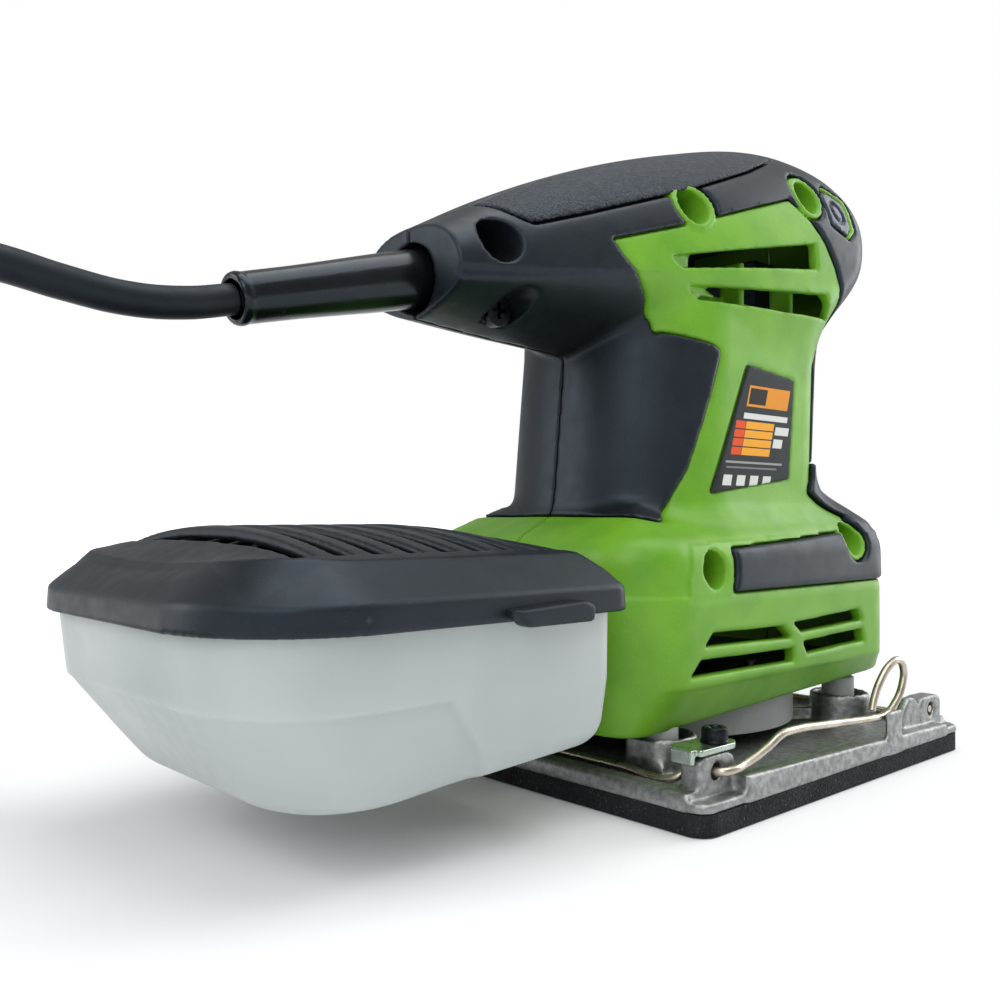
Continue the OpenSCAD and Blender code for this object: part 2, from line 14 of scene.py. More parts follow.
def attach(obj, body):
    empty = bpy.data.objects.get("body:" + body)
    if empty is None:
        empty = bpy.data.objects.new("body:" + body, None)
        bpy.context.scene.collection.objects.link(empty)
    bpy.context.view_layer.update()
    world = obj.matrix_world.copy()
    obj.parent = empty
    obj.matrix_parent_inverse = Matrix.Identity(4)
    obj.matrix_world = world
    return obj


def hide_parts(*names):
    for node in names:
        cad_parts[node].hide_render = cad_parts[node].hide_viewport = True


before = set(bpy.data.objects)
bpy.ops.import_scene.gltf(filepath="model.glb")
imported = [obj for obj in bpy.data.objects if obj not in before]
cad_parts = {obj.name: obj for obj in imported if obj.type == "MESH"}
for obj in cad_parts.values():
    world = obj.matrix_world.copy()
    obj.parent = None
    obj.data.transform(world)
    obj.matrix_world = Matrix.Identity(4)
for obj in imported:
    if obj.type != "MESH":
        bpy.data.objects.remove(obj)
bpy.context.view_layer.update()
MM = 0.001
COOL = (0.7, 0.86, 1.0, 1.0)  # the faintly blue sheen of dark plastic and rubber


# ---------------------------------------------------------------- camera

def make_camera():
    """A low view from behind and to the right of the tool."""
    data = bpy.data.cameras.new("camera")
    data.lens = 35.77
    data.sensor_width = 36.0
    data.shift_y = 0.015
    camera = bpy.data.objects.new("camera", data)
    bpy.context.scene.collection.objects.link(camera)
    camera.location = (-0.2057, -0.1647, 0.060)
    ahead = (0.673, 0.7396)
    camera.rotation_euler = (math.radians(90), 0, -math.atan2(*ahead))
    bpy.context.scene.camera = camera


make_camera()


# ---------------------------------------------------------------- materials

def srgb(r, g, b):
    """A linear colour from its 0 to 255 screen values."""
    return tuple(((c / 255 + 0.055) / 1.055) ** 2.4 for c in (r, g, b)) + (1.0,)


class Finish:
    """A Principled material whose colour, roughness and relief come from noise in object space."""

    def __init__(self, name, **fixed):
        self.material = bpy.data.materials.new(name)
        self.material.use_nodes = True
        self.tree = self.material.node_tree
        self.shader = self.tree.nodes["Principled BSDF"]
        self.place = self.node("ShaderNodeTexCoord").outputs["Object"]
        for key, value in fixed.items():
            self.shader.inputs[key.replace("_", " ")].default_value = value

    def node(self, kind, **inputs):
        made = self.tree.nodes.new(kind)
        for key, value in inputs.items():
            self.feed(made.inputs[key.replace("_", " ")], value)
        return made

    def feed(self, socket, value):
        if isinstance(value, bpy.types.NodeSocket):
            self.tree.links.new(value, socket)
        else:
            socket.default_value = value

    def math(self, operation, a, b=0.0, c=0.0):
        made = self.tree.nodes.new("ShaderNodeMath")
        made.operation = operation
        for socket, value in zip(made.inputs, (a, b, c)):
            self.feed(socket, value)
        return made.outputs[0]

    def stretched(self, scale):
        return self.node("ShaderNodeMapping", Vector=self.place, Scale=scale).outputs[0]

    def noise(self, scale, detail=3.0, place=None):
        made = self.node("ShaderNodeTexNoise", Vector=place or self.place, Scale=scale, Detail=detail)
        return made.outputs["Fac"]

    def cells(self, scale):
        return self.node("ShaderNodeTexVoronoi", Vector=self.place, Scale=scale).outputs["Distance"]

    def ramp(self, value, low, high, to_low=0.0, to_high=1.0):
        made = self.node("ShaderNodeMapRange", Value=value, From_Min=low, From_Max=high,
                         To_Min=to_low, To_Max=to_high)
        return made.outputs[0]

    def mix(self, amount, a, b):
        made = self.tree.nodes.new("ShaderNodeMix")
        made.data_type = "RGBA"
        self.feed(made.inputs["Factor"], amount)
        self.feed(made.inputs[6], a)
        self.feed(made.inputs[7], b)
        return made.outputs[2]

    def edges(self):
        """1 along each sharp outer edge, 0 elsewhere: where a paler colour is mixed in as painted highlight.
        """
        pointiness = self.node("ShaderNodeNewGeometry").outputs["Pointiness"]
        return self.ramp(pointiness, 0.54, 0.64)

    def colour(self, value):
        self.feed(self.shader.inputs["Base Color"], value)
        return self

    def rough(self, value):
        self.feed(self.shader.inputs["Roughness"], value)
        return self

    def relief(self, height, strength, depth):
        bump = self.node("ShaderNodeBump", Height=height, Strength=strength, Distance=depth)
        self.feed(self.shader.inputs["Normal"], bump.outputs[0])
        return self


def plastic(name, dark, light, rough, grain=2200.0, strength=0.2, edge=None, **fixed):
    """Moulded plastic or rubber: mottled colour, spark-eroded grain and a painted highlight along each sharp
    edge.
    """
    f = Finish(name, **fixed)
    body = f.mix(f.ramp(f.noise(90.0), 0.35, 0.65), dark, light)
    speckle = f.ramp(f.noise(grain * 0.8, 2.0), 0.62, 0.78, 0.0, 0.22)
    body = f.mix(speckle, body, edge or light)
    # The edge colour, which also tints the grain's speckles, is painted highlight, mixed in half way along
    # sharp corners.
    f.colour(f.mix(f.math("MULTIPLY", f.edges(), 0.5), body, edge or light))
    f.rough(f.ramp(f.noise(260.0), 0.3, 0.7, rough - 0.05, rough + 0.06))
    f.relief(f.noise(grain, 2.0), strength, 0.00012)
    return f.material


def leather_grain(name, dark, light, rough):
    """Rubber with a pebbled, leather-like surface, its pebbles painted with a highlight on top and shade in
    the crevices.
    """
    f = Finish(name, Specular_IOR_Level=0.4, Specular_Tint=COOL)
    pebbles = f.cells(1500.0)
    # The pebbles' tops take the light colour, as painted highlight, and the crevices between them the dark
    # one, as painted shade.
    f.colour(f.mix(f.ramp(pebbles, 0.1, 0.7), light, dark))
    f.rough(f.ramp(f.noise(500.0), 0.3, 0.7, rough - 0.06, rough + 0.08))
    f.relief(f.math("ADD", f.math("MULTIPLY", pebbles, -0.8), f.noise(2600.0, 2.0)), 0.75, 0.0003)
    return f.material


def metal(name, dark, light, rough, scale=220.0, grain=1800.0, strength=0.15, stretch=(1, 1, 1)):
    """Bare, plated or cast metal: mottled tone, uneven polish and a fine grain."""
    f = Finish(name, Metallic=1.0)
    place = f.stretched(stretch)
    tone = f.mix(f.ramp(f.noise(scale, 5.0, place), 0.35, 0.68), dark, light)
    # Paler along sharp corners: painted highlight.
    f.colour(f.mix(f.math("MULTIPLY", f.edges(), 0.4), tone, light))
    f.rough(f.ramp(f.noise(scale * 2.5, 4.0, place), 0.3, 0.7, rough - 0.08, rough + 0.1))
    f.relief(f.noise(grain, 3.0, place), strength, 0.00015)
    return f.material


def milky(name):
    """Translucent polypropylene, a little uneven in thickness."""
    f = Finish(name, Subsurface_Weight=0.55, Subsurface_Scale=0.004, Specular_IOR_Level=0.4)
    f.shader.inputs["Subsurface Radius"].default_value = (1.0, 1.0, 1.0)
    f.colour(f.mix(f.ramp(f.noise(28.0, 2.0), 0.3, 0.7), srgb(172, 180, 180), srgb(188, 194, 193)))
    f.rough(f.ramp(f.noise(300.0), 0.3, 0.7, 0.3, 0.42))
    f.relief(f.noise(60.0, 2.0), 0.12, 0.0006)
    return f.material


def paper(name):
    """Dark filter fleece with short fibres."""
    f = Finish(name, Roughness=0.95)
    fibres = f.noise(900.0, 5.0, f.stretched((1, 3, 1)))
    f.colour(f.mix(fibres, srgb(20, 20, 21), srgb(42, 42, 44)))
    return f.relief(fibres, 0.5, 0.0003).material


def foam(name):
    """Black foam: its cut cells show as pits, with pale dust in a few of them."""
    f = Finish(name, Specular_IOR_Level=0.25)
    pits = f.cells(1300.0)
    dust = f.ramp(f.noise(1900.0, 1.0), 0.68, 0.74, 0.0, 0.6)
    tone = f.mix(f.ramp(f.noise(150.0), 0.3, 0.7), srgb(16, 17, 19), srgb(36, 37, 40))
    f.colour(f.mix(dust, tone, srgb(96, 96, 96)))
    f.rough(f.ramp(pits, 0.0, 0.6, 0.95, 0.75))
    return f.relief(f.math("ADD", pits, f.noise(3000.0)), 0.8, 0.0004).material


def laminated(name):
    """A stack of thin steel sheets."""
    f = Finish(name, Metallic=0.9)
    sheets = f.noise(1.0, 1.0, f.stretched((1, 1, 2000)))
    f.colour(f.mix(sheets, srgb(78, 78, 80), srgb(150, 150, 152)))
    f.rough(f.ramp(sheets, 0.3, 0.7, 0.35, 0.55))
    return f.relief(sheets, 0.4, 0.0003).material


def wound(name):
    """Enamelled copper wire, wound in layers."""
    f = Finish(name, Metallic=0.9)
    turns = f.node("ShaderNodeTexWave", Vector=f.place, Scale=260.0, Distortion=3.0).outputs["Fac"]
    f.colour(f.mix(turns, srgb(120, 52, 20), srgb(226, 132, 66)))
    f.rough(f.ramp(turns, 0.2, 0.8, 0.35, 0.22))
    return f.relief(turns, 0.7, 0.0004).material


# Each plastic's last colour is the painted highlight along its sharp corners, also used for its grain's
# speckles.
green = plastic("green_abs", srgb(92, 150, 26), srgb(106, 162, 36), 0.42, 2400.0, 0.22,
                srgb(150, 194, 90), Specular_IOR_Level=0.4)
black = plastic("charcoal_abs", srgb(15, 19, 24), srgb(21, 25, 31), 0.42, 2600.0, 0.16,
                srgb(56, 64, 73), Specular_IOR_Level=0.4, Specular_Tint=COOL)
rubber = plastic("black_rubber", srgb(12, 14, 17), srgb(19, 22, 26), 0.52, 1700.0, 0.14,
                 srgb(38, 42, 48), Specular_IOR_Level=0.3, Specular_Tint=COOL)
glossy = plastic("relief_pvc", srgb(7, 9, 11), srgb(11, 14, 17), 0.22, 900.0, 0.05,
                 srgb(30, 35, 40), Specular_IOR_Level=0.4, Specular_Tint=COOL)
cable = plastic("cord_pvc", srgb(17, 20, 24), srgb(23, 26, 31), 0.5, 1200.0, 0.08,
                srgb(44, 48, 54), Specular_IOR_Level=0.3, Specular_Tint=COOL)
# Its light colour is the painted highlight on the pebbles, its dark one the painted shade between them.
grip = leather_grain("grip_rubber", srgb(20, 24, 29), srgb(46, 53, 61), 0.5)
button = plastic("button_abs", srgb(38, 46, 55), srgb(48, 57, 67), 0.34, 2200.0, 0.1,
                 srgb(90, 100, 112), Specular_IOR_Level=0.35, Specular_Tint=COOL)
box_pp = milky("box_pp")
casting = metal("cast_aluminium", srgb(134, 136, 136), srgb(172, 174, 173), 0.46, 700.0, 1800.0, 0.35)
zinc_plated = metal("zinc_plate", srgb(140, 158, 146), srgb(206, 216, 206), 0.26, 120.0, 2400.0, 0.08)
nickel_wire = metal("nickel_wire", srgb(176, 166, 150), srgb(206, 198, 184), 0.3, 160.0, 2600.0, 0.05)
black_oxide = metal("black_oxide", srgb(24, 25, 27), srgb(52, 54, 57), 0.38, 400.0, 2200.0, 0.15)
steel = metal("steel", srgb(130, 131, 132), srgb(190, 191, 192), 0.3, 260.0, 2400.0, 0.1)
polished = metal("bearing_steel", srgb(168, 169, 171), srgb(214, 215, 217), 0.16, 200.0, 2600.0, 0.05)
zinc_casting = metal("zinc_casting", srgb(92, 92, 94), srgb(132, 132, 134), 0.5, 300.0, 1400.0, 0.35)
brass = metal("brass", srgb(160, 122, 52), srgb(214, 178, 96), 0.3, 260.0, 2200.0, 0.1)
bars = metal("commutator_copper", srgb(168, 92, 52), srgb(226, 150, 104), 0.28, 500.0, 2200.0, 0.1,
             (1, 1, 0.1))
pins = metal("pin_nickel", srgb(186, 186, 182), srgb(226, 226, 222), 0.2, 200.0, 2400.0, 0.05, (0.2, 1, 1))
post_grey = plastic("post_plastic", srgb(150, 156, 152), srgb(176, 182, 178), 0.42, 1500.0, 0.1,
                    srgb(205, 210, 206))
skirt = plastic("skirt_rubber", srgb(112, 114, 114), srgb(136, 138, 138), 0.55, 1500.0, 0.2,
                srgb(170, 172, 172))
carbon = plastic("carbon", srgb(28, 28, 29), srgb(48, 48, 50), 0.5, 2600.0, 0.3, srgb(90, 90, 92))
case = plastic("capacitor_case", srgb(186, 158, 40), srgb(206, 178, 58), 0.35, 1500.0, 0.05,
               srgb(226, 204, 110))
tie = plastic("tie_plastic", srgb(206, 208, 208), srgb(224, 226, 226), 0.4, 1500.0, 0.08,
              srgb(238, 238, 238))
fleece = paper("filter_fleece")
pad_foam = foam("pad_foam")
sheets = laminated("lamination")
copper = wound("winding_copper")


# ---------------------------------------------------------------- placing pieces

def place(piece, body, slot, finish, *nodes):
    """Sets a piece on its body, with its finish; it stands for the CAD nodes named."""
    piece.data.materials.clear()
    piece.data.materials.append(finish)
    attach(piece, body)
    if nodes:
        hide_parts(*nodes)
    return piece


def place_all(pieces, body, slot, finish, node):
    """Places like pieces; the first of them stands for the CAD node that holds them all."""
    place(pieces[0], body, slot, finish, node)
    for piece in pieces[1:]:
        place(piece, body, slot, finish)


def line(name, points, radius, sides=5):
    """A round bar or cord: one smooth curve through points, in millimetres."""
    data = bpy.data.curves.new(name, "CURVE")
    data.dimensions = "3D"
    data.bevel_depth = radius * MM
    data.bevel_resolution = sides
    data.resolution_u = 6
    data.use_fill_caps = True
    spline = data.splines.new("BEZIER")
    spline.bezier_points.add(len(points) - 1)
    for knot, p in zip(spline.bezier_points, points):
        knot.co = Vector(p) * MM
        knot.handle_left_type = knot.handle_right_type = "AUTO"
    ob = bpy.data.objects.new(name, data)
    bpy.context.scene.collection.objects.link(ob)
    return ob


# ---------------------------------------------------------------- cord

CORD_R = 2.9
# The coil's middle, the radii of its first and last turns, and the height of its upper layer
COIL_X, COIL_Y = -248.0, 24.0
COIL_IN, COIL_OUT = 24.3, 44.6
UPPER = 3 * CORD_R + 0.1
TURNS = 3.5
RELIEF_END = (-121, 0, 98.8)
RELIEF_SLOPE = math.radians(14)
# Where the cord lies between the relief and the coil
ROUTE = [RELIEF_END, (-130, 0, 96.9), (-140, 0, 96.2), (-150, 0, 97.2), (-160, 0, 98.8),
         (-170, -1, 99.2), (-180, -3, 96.4), (-189, -5, 90.2), (-196, -7, 81.2), (-201, -9, 70.4),
         (-204.5, -11, 58.6), (-207, -13, 46.4), (-210, -15, 34.4), (-214.5, -17, 23.2),
         (-221.5, -18.6, 13.6), (-230, -19.8, 6.8), (-239, -20.4, 3.6)]
PLUG = (-228.0, 68.6, 13.0)


def coil_points():
    """Two flat layers of turns: inward on the floor, a half turn up, and outward on top."""
    stages = [(TURNS, COIL_OUT, COIL_IN, CORD_R, CORD_R), (0.5, COIL_IN, COIL_IN, CORD_R, UPPER),
              (TURNS, COIL_IN, COIL_OUT, UPPER, UPPER)]
    turned = 0.25
    out = []
    for turns, r0, r1, z0, z1 in stages:
        count = round(turns * 16)
        for i in range(count):
            t = i / count
            angle = -math.tau * (turned + turns * t)
            rise = t * t * (3 - 2 * t)
            r = r0 + (r1 - r0) * t
            out.append((COIL_X + r * math.cos(angle), COIL_Y + r * math.sin(angle), z0 + (z1 - z0) * rise))
        turned += turns
    return out


def make_cord():
    """The whole cord, from the relief to the plug."""
    end = [(COIL_X, COIL_Y + COIL_OUT, UPPER), (COIL_X + 8, PLUG[1], UPPER + 0.9), PLUG]
    cord = line("cord", ROUTE + coil_points() + end, CORD_R)
    place(cord, "housing", "cord_rubber", cable, "cord_lead", "cord_coil")
    return cord


# ---------------------------------------------------------------- distance fields

class Grid:
    """A block of sample points, in millimetres."""

    def __init__(self, low, high, step):
        self.low = np.array(low, float)
        self.step = step
        axes = [np.arange(a, b + step, step, dtype=np.float32) for a, b in zip(low, high)]
        self.x = axes[0][:, None, None]
        self.y = axes[1][None, :, None]
        self.z = axes[2][None, None, :]


class Turned:
    """A grid turned half a turn about Z."""

    def __init__(self, g):
        self.x, self.y, self.z = -g.x, -g.y, g.z


class Axial:
    """A grid's points along and around an axis in the X-Z plane."""

    def __init__(self, g, start, slope):
        c, s = math.cos(slope), math.sin(slope)
        dx, dz = g.x - start[0], g.z - start[2]
        self.along = dx * c + dz * s
        self.up = dz * c - dx * s
        self.side = g.y - start[1]
        self.reach = np.sqrt(self.up**2 + self.side**2)


def smin(a, b, k):
    """The union of two fields, filleted over k."""
    h = np.maximum(k - np.abs(a - b), 0) / k
    return np.minimum(a, b) - h * h * k / 4


def smax(a, b, k):
    """The intersection of two fields, with its edge rounded over k."""
    return -smin(-a, -b, k)


def curve(u, points):
    """A smooth line through (place, value) points."""
    at, value = np.array(points, float).T
    slope = np.gradient(value, at)
    i = np.clip(np.searchsorted(at, u) - 1, 0, len(at) - 2)
    h = at[i + 1] - at[i]
    t = np.clip((u - at[i]) / h, 0, 1)
    start = (2 * t**3 - 3 * t**2 + 1) * value[i] + (t**3 - 2 * t**2 + t) * h * slope[i]
    end = (3 * t**2 - 2 * t**3) * value[i + 1] + (t**3 - t**2) * h * slope[i + 1]
    return (start + end).astype(np.float32)


def straight(u, points):
    """A line with corners through (place, value) points."""
    at, value = np.array(points, float).T
    return np.interp(u, at, value).astype(np.float32)


def softened(points, radius, steps=4):
    """An outline with each corner rounded, starting up to radius before it."""
    out = []
    for i, p in enumerate(points):
        p = Vector(p)
        a, b = Vector(points[i - 1]) - p, Vector(points[(i + 1) % len(points)]) - p
        a *= min(radius / a.length, 0.48)
        b *= min(radius / b.length, 0.48)
        for k in range(steps + 1):
            t = k / steps
            out.append(tuple(p + a * (1 - t) ** 2 + b * t**2))
    return out


def outline(u, v, points):
    """Signed distance to a closed outline in the plane of u and v."""
    nearest = None
    inside = False
    for (x0, y0), (x1, y1) in zip(points, points[1:] + points[:1]):
        ex, ey = x1 - x0, y1 - y0
        if ex == ey == 0:
            continue
        du, dv = u - x0, v - y0
        t = np.clip((du * ex + dv * ey) / (ex * ex + ey * ey), 0, 1)
        gap = (du - ex * t) ** 2 + (dv - ey * t) ** 2
        nearest = gap if nearest is None else np.minimum(nearest, gap)
        if ey != 0:
            inside = inside ^ (((y0 <= v) != (y1 <= v)) & (du < ex * dv / ey))
    return (np.where(inside, -1, 1) * np.sqrt(nearest)).astype(np.float32)


def unit_field(field, step):
    """The field with its slope brought near 1, so that it measures distance near the surface."""
    gx, gy, gz = np.gradient(field, step)
    return field / np.clip(np.sqrt(gx * gx + gy * gy + gz * gz), 0.2, 6)


def layer(field, depth):
    """The layer of a solid just under its surface."""
    return np.maximum(field, -(field + depth))


def rounded_rect(u, v, half_u, half_v, radius):
    """Distance to a rectangle with rounded corners, about the origin."""
    qu, qv = np.abs(u) - half_u + radius, np.abs(v) - half_v + radius
    outside = np.sqrt(np.maximum(qu, 0) ** 2 + np.maximum(qv, 0) ** 2)
    return outside + np.minimum(np.maximum(qu, qv), 0) - radius


def disc(u, v, centre, radius):
    """Distance to a circle."""
    return np.sqrt((u - centre[0]) ** 2 + (v - centre[1]) ** 2) - radius


def block(g, x, y, z, r=0.5):
    """A rounded box from its ranges along X, Y and Z."""
    centre = [(a + b) / 2 for a, b in (x, y, z)]
    half = [(b - a) / 2 for a, b in (x, y, z)]
    parts = [np.abs(u - c) - h + r for u, c, h in zip((g.x, g.y, g.z), centre, half)]
    outside = np.sqrt(sum(np.maximum(p, 0) ** 2 for p in parts))
    return outside + np.minimum(np.maximum(np.maximum(parts[0], parts[1]), parts[2]), 0) - r


def mesh_object(name, points, faces):
    mesh = bpy.data.meshes.new(name)
    mesh.from_pydata(np.asarray(points).tolist(), [], np.asarray(faces).tolist())
    mesh.shade_smooth()
    ob = bpy.data.objects.new(name, mesh)
    bpy.context.scene.collection.objects.link(ob)
    return ob


def solid(name, grid, field, mirrored=False):
    """A smooth mesh object of the space where the field is below zero, or its mirror image across Y."""
    band = 3 * grid.step
    field = np.broadcast_to(field, (grid.x.size, grid.y.size, grid.z.size))
    volume = openvdb.FloatGrid(band)
    volume.copyFromArray(np.ascontiguousarray(np.clip(field, -band, band), dtype=np.float32))
    points, quads = volume.convertToQuads(0.0)
    points = (points * grid.step + grid.low) * MM
    if mirrored:
        points = points * (1, -1, 1)
    else:
        quads = quads[:, ::-1]
    return mesh_object(name, points, quads)


# ---------------------------------------------------------------- the housing's form

WALL = 3.0        # of the green shells
COVER = 1.9       # thickness of the black covers
SEAM = 0.12       # half the gap between right and left
BASE_Z = 14.1     # underside of the base, at its rear
STEP_Z = 42.8     # the step round the base's sides
HANDLE_END = -81.2
RELIEF_BORE = 7.3
COVER_RECESS = 6.2    # how near the handle's recesses come to the midplane

# Side outlines, as X and Z: the covers, the bumper band with its nose, the grip pads, the base's
# raised side panels and the label
BLACK = softened([(-110, 66), (-45, 64), (-41.5, 60), (-34.5, 58.4), (-31.5, 58.6), (-27.5, 62.2),
                  (-22.5, 70.3), (-16.4, 86.4), (-12.4, 98), (-14.5, 99.4), (-26.5, 101.8)], 1.0) + [
    (-28, 104), (-32.6, 109.3), (-39.5, 114.2), (-42, 116.5), (-44, 119.3), (-23, 125.7), (-5, 132),
    (14.5, 138.7), (22.5, 134), (27.7, 129.7), (32.6, 124.1), (35.5, 119.5), (37.2, 115), (36, 109),
    (32.5, 104), (28, 98), (27.5, 73.4), (90, 73.4), (90, 180), (-110, 180)]
NOSE = softened([(27.5, 73.6), (27, 69.5), (23.6, 65.5), (30, 62.2), (36.5, 59.4), (31, 56.2), (25, 55.6),
                 (6.6, 54.3), (-22.2, 52.7), (-22, 50.5), (-22.1, 47), (-23.4, 43.2), (41, 43.4), (90, 43.6),
                 (90, 73.6)], 1.0)
GRIP = softened([(-76, 130), (-69.6, 124.9), (-65.9, 121.4), (-62.8, 119.9), (-49, 124.4), (-26, 132.4),
                 (-14.4, 136.7), (4.4, 144.4), (22.4, 152.9), (24, 180), (-76, 180)], 1.2)
PANEL = [(-39, 42), (-38.6, 47), (-36, 53.8), (46, 56), (46, 42)]
LABEL = softened([(-2.4, 96), (17.9, 94), (15.3, 68.8), (-17.3, 64.8)], 0.8)
# Half the width of the smooth spine between the grip pads, along X
SPINE = [(-76, 5.0), (-66, 6.0), (-20, 7.5), (0, 12), (22.4, 20.8)]
# Cooling slots: two in the head, then four in the base
SLOTS = [[(-28.3, 117.9), (23, 128.8), (23.9, 122.5), (-25, 115.6)],
         [(-22.4, 112.1), (28.2, 116.7), (32, 110.8), (-18.8, 109.4)],
         [(-31, 35), (-3.9, 34.5), (0, 31.5), (-33.8, 32.3)],
         [(-35.2, 29.6), (0.5, 29), (1, 26), (-38.7, 26.3)],
         [(0.5, 34.9), (30.6, 36.2), (32.6, 33.3), (4, 32.4)],
         [(4.5, 30.2), (32.6, 31.2), (33.5, 28), (6.5, 27.2)]]
# Screw recesses; those in the handle are ovals, with their half widths
HEAD_BOSSES = [(-19.9, 130.7), (22.6, 140.9)]
BASE_BOSSES = [(-29.2, 48.3), (31.6, 53.8)]
HANDLE_RECESSES = [((-71, 115.4), 4.7, 4.6), ((-63.3, 103.6), 4.6, 3.3)]
BUTTON = (35.3, 139.2)


def base_form(g):
    """The base: straight sides with cut corners, bevelled below, with a shoulder rising to the neck."""
    low = np.clip((24.2 - g.z) / 9, 0, 1)
    side = 40 - 4.6 * low - 0.35 * (g.z < 24.0) - 0.1 * np.clip(g.z - STEP_Z, 0, 20)
    half_len = 54.2 - 1.6 * low - 0.08 * np.clip(g.z - STEP_Z, 0, 20)
    walls = rounded_rect(g.x - 0.3, g.y, half_len, side, 5)
    corner = (np.abs(g.x - 0.3) + np.abs(g.y) - 83.4) * 0.7071
    walls = smax(walls, corner, 4)
    in_panel = outline(g.x, g.z, PANEL) < 0
    walls = walls + 0.55 * ((g.z > STEP_Z) & ~in_panel) + 0.2 * in_panel
    slope = 0.5 + 0.25 * np.clip((g.x - 10) / 20, 0, 1)
    top = (g.z - 54.6 - 0.02 * g.x - slope * np.clip(-walls, 0, 16)) * 0.86
    floor = BASE_Z + 0.055 * (g.x + 50) - g.z
    return smax(smax(walls, top, 4), floor, 1.2)


def neck_form(g):
    """The neck: round behind and squarer in front."""
    rear = straight(g.z, [(52, -41.0), (66, -38.6), (100, -35.2)])
    front = straight(g.z, [(62, 34.4), (100, 36.8)])
    centre, half_len = (rear + front) / 2, (front - rear) / 2
    round_rear = rounded_rect(g.x - centre, g.y, half_len, 29.6, 26.5)
    square_front = rounded_rect(g.x - centre, g.y, half_len, 29.6, 13)
    walls = np.where(g.x < 0, round_rear, square_front)
    return smax(smax(walls, g.z - 112, 2), 40 - g.z, 2)


def rounded_meet(a, b, radius):
    """The intersection of two fields, with its edge rounded to a radius."""
    outside = np.sqrt(np.maximum(a + radius, 0) ** 2 + np.maximum(b + radius, 0) ** 2)
    return outside + np.minimum(np.maximum(a, b) + radius, 0) - radius


def head_form(g):
    """The handle and head: rounded sections that grow forwards, closed by a domed front.

    A narrow band and a crease run along the handle's widest line, and its end is flat, with a bore."""
    x = g.x
    top = curve(x, [(-92, 113.8), (-80.7, 119.6), (-64.5, 128.3), (-36.4, 140.9), (-7, 151), (18.6, 157.6),
                    (35, 159.0), (62, 159)])
    widest = curve(x, [(-92, 108.5), (-60, 110.6), (-36, 113.5), (0, 120), (30, 126.5), (62, 128)])
    low = curve(x, [(-92, 101), (-80, 100.1), (-64, 98.8), (-36, 97), (-8, 94), (18, 93.5), (62, 95)])
    half_w = curve(x, [(-92, 12.5), (-78, 16.8), (-64, 20), (-36, 26), (-8, 31), (18, 32.8), (62, 32.8)])
    below = straight(x, [(-92, 1.35), (-36, 1.4), (5, 2.2), (62, 2.3)])
    band = straight(x, [(-80, 2.6), (-30, 0)])
    power = np.where(g.z < widest - band, below, 2.35)
    height = np.where(g.z < widest, widest - band - low, top - widest)
    rise = np.maximum(np.maximum(g.z - widest, widest - band - g.z), 0)
    across = (np.abs(g.y) / half_w) ** power
    rho = (across + (rise / height) ** power) ** (1 / power)
    section = unit_field((rho - 1) * 25, g.step)
    nose = curve(g.z, [(92, 24), (100, 30), (108, 38), (116, 47), (124, 53), (132, 55), (140, 54.6),
                       (147, 51.5), (153, 46), (158, 38), (162, 28)])
    front = unit_field(np.broadcast_to(g.x - nose, section.shape), g.step)
    crease = np.clip((widest - g.z) / 0.6, 0, 1) * np.clip((-26 - x) / 8, 0, 1)
    form = rounded_meet(section, front, 12) + 0.5 * crease
    form = smax(form, HANDLE_END - x + 0.1 * (114 - g.z), 0.6)
    relief_z = RELIEF_END[2] + (x - RELIEF_END[0]) * math.tan(RELIEF_SLOPE)
    off_relief = np.sqrt(g.y**2 + (g.z - relief_z) ** 2)
    return smax(form, RELIEF_BORE - off_relief - 20 * (x > -74), 0.7)


def body_field(g):
    """The whole housing's outer surface."""
    lower = smin(base_form(g), neck_form(g), 2.5 + 6.5 * np.clip((g.x + 32) / 20, 0, 1))
    return unit_field(smin(lower, head_form(g), 1.6 + 9 * np.clip((g.x + 14) / 45, 0, 1)), g.step)


def discs(g, places, radius):
    """Round rods through the housing, from side to side."""
    return np.minimum(disc(g.x, g.z, places[0], radius), disc(g.x, g.z, places[1], radius))


def holes(g, places, radius, depth):
    """Round pockets from the side, down to depth from the midplane."""
    return np.maximum(discs(g, places, radius), g.y + depth)


def handle_holes(g, grow, depth):
    """The two oval screw recesses in the handle."""
    ovals = [(np.sqrt(((g.x - x) / rx) ** 2 + ((g.z - z) / rz) ** 2) - 1) * min(rx, rz) - grow
             for (x, z), rx, rz in HANDLE_RECESSES]
    return np.maximum(np.minimum(ovals[0], ovals[1]), g.y + depth)


def button_axes(u, v):
    """How far points lie from the button's middle, across its length and along it."""
    du, dv = u - BUTTON[0], v - BUTTON[1]
    return du * 0.75 + dv * 0.66, dv * 0.75 - du * 0.66


def button_outline(u, v, grow=0.0):
    """A long hexagon that leans with the head's front."""
    lean, rise = button_axes(u, v)
    return np.maximum(np.abs(rise) - 6.4, np.abs(rise) * 0.55 + np.abs(lean) * 0.84 - 4.9) - grow


def pad_outline(g):
    """The grip pads' shape: one on each flank, with a smooth spine left between them."""
    return np.maximum(outline(g.x, g.z, GRIP), straight(g.x, SPINE) - np.abs(g.y))


def make_baffle(g, body):
    """A baffle behind the head's slots, with two ribs that tie it to the wall."""
    inner, outer = -20.4, -21.6
    sheets = [block(g, (-14, 22), (outer, inner), (100, 113), 0.3)]
    sheets += [block(g, (x, x + 1.4), (-27, inner), (100, 121), 0.3) for x in (-2, 20)]
    return np.maximum(np.minimum(np.minimum(sheets[0], sheets[1]), sheets[2]), body + WALL - 1)


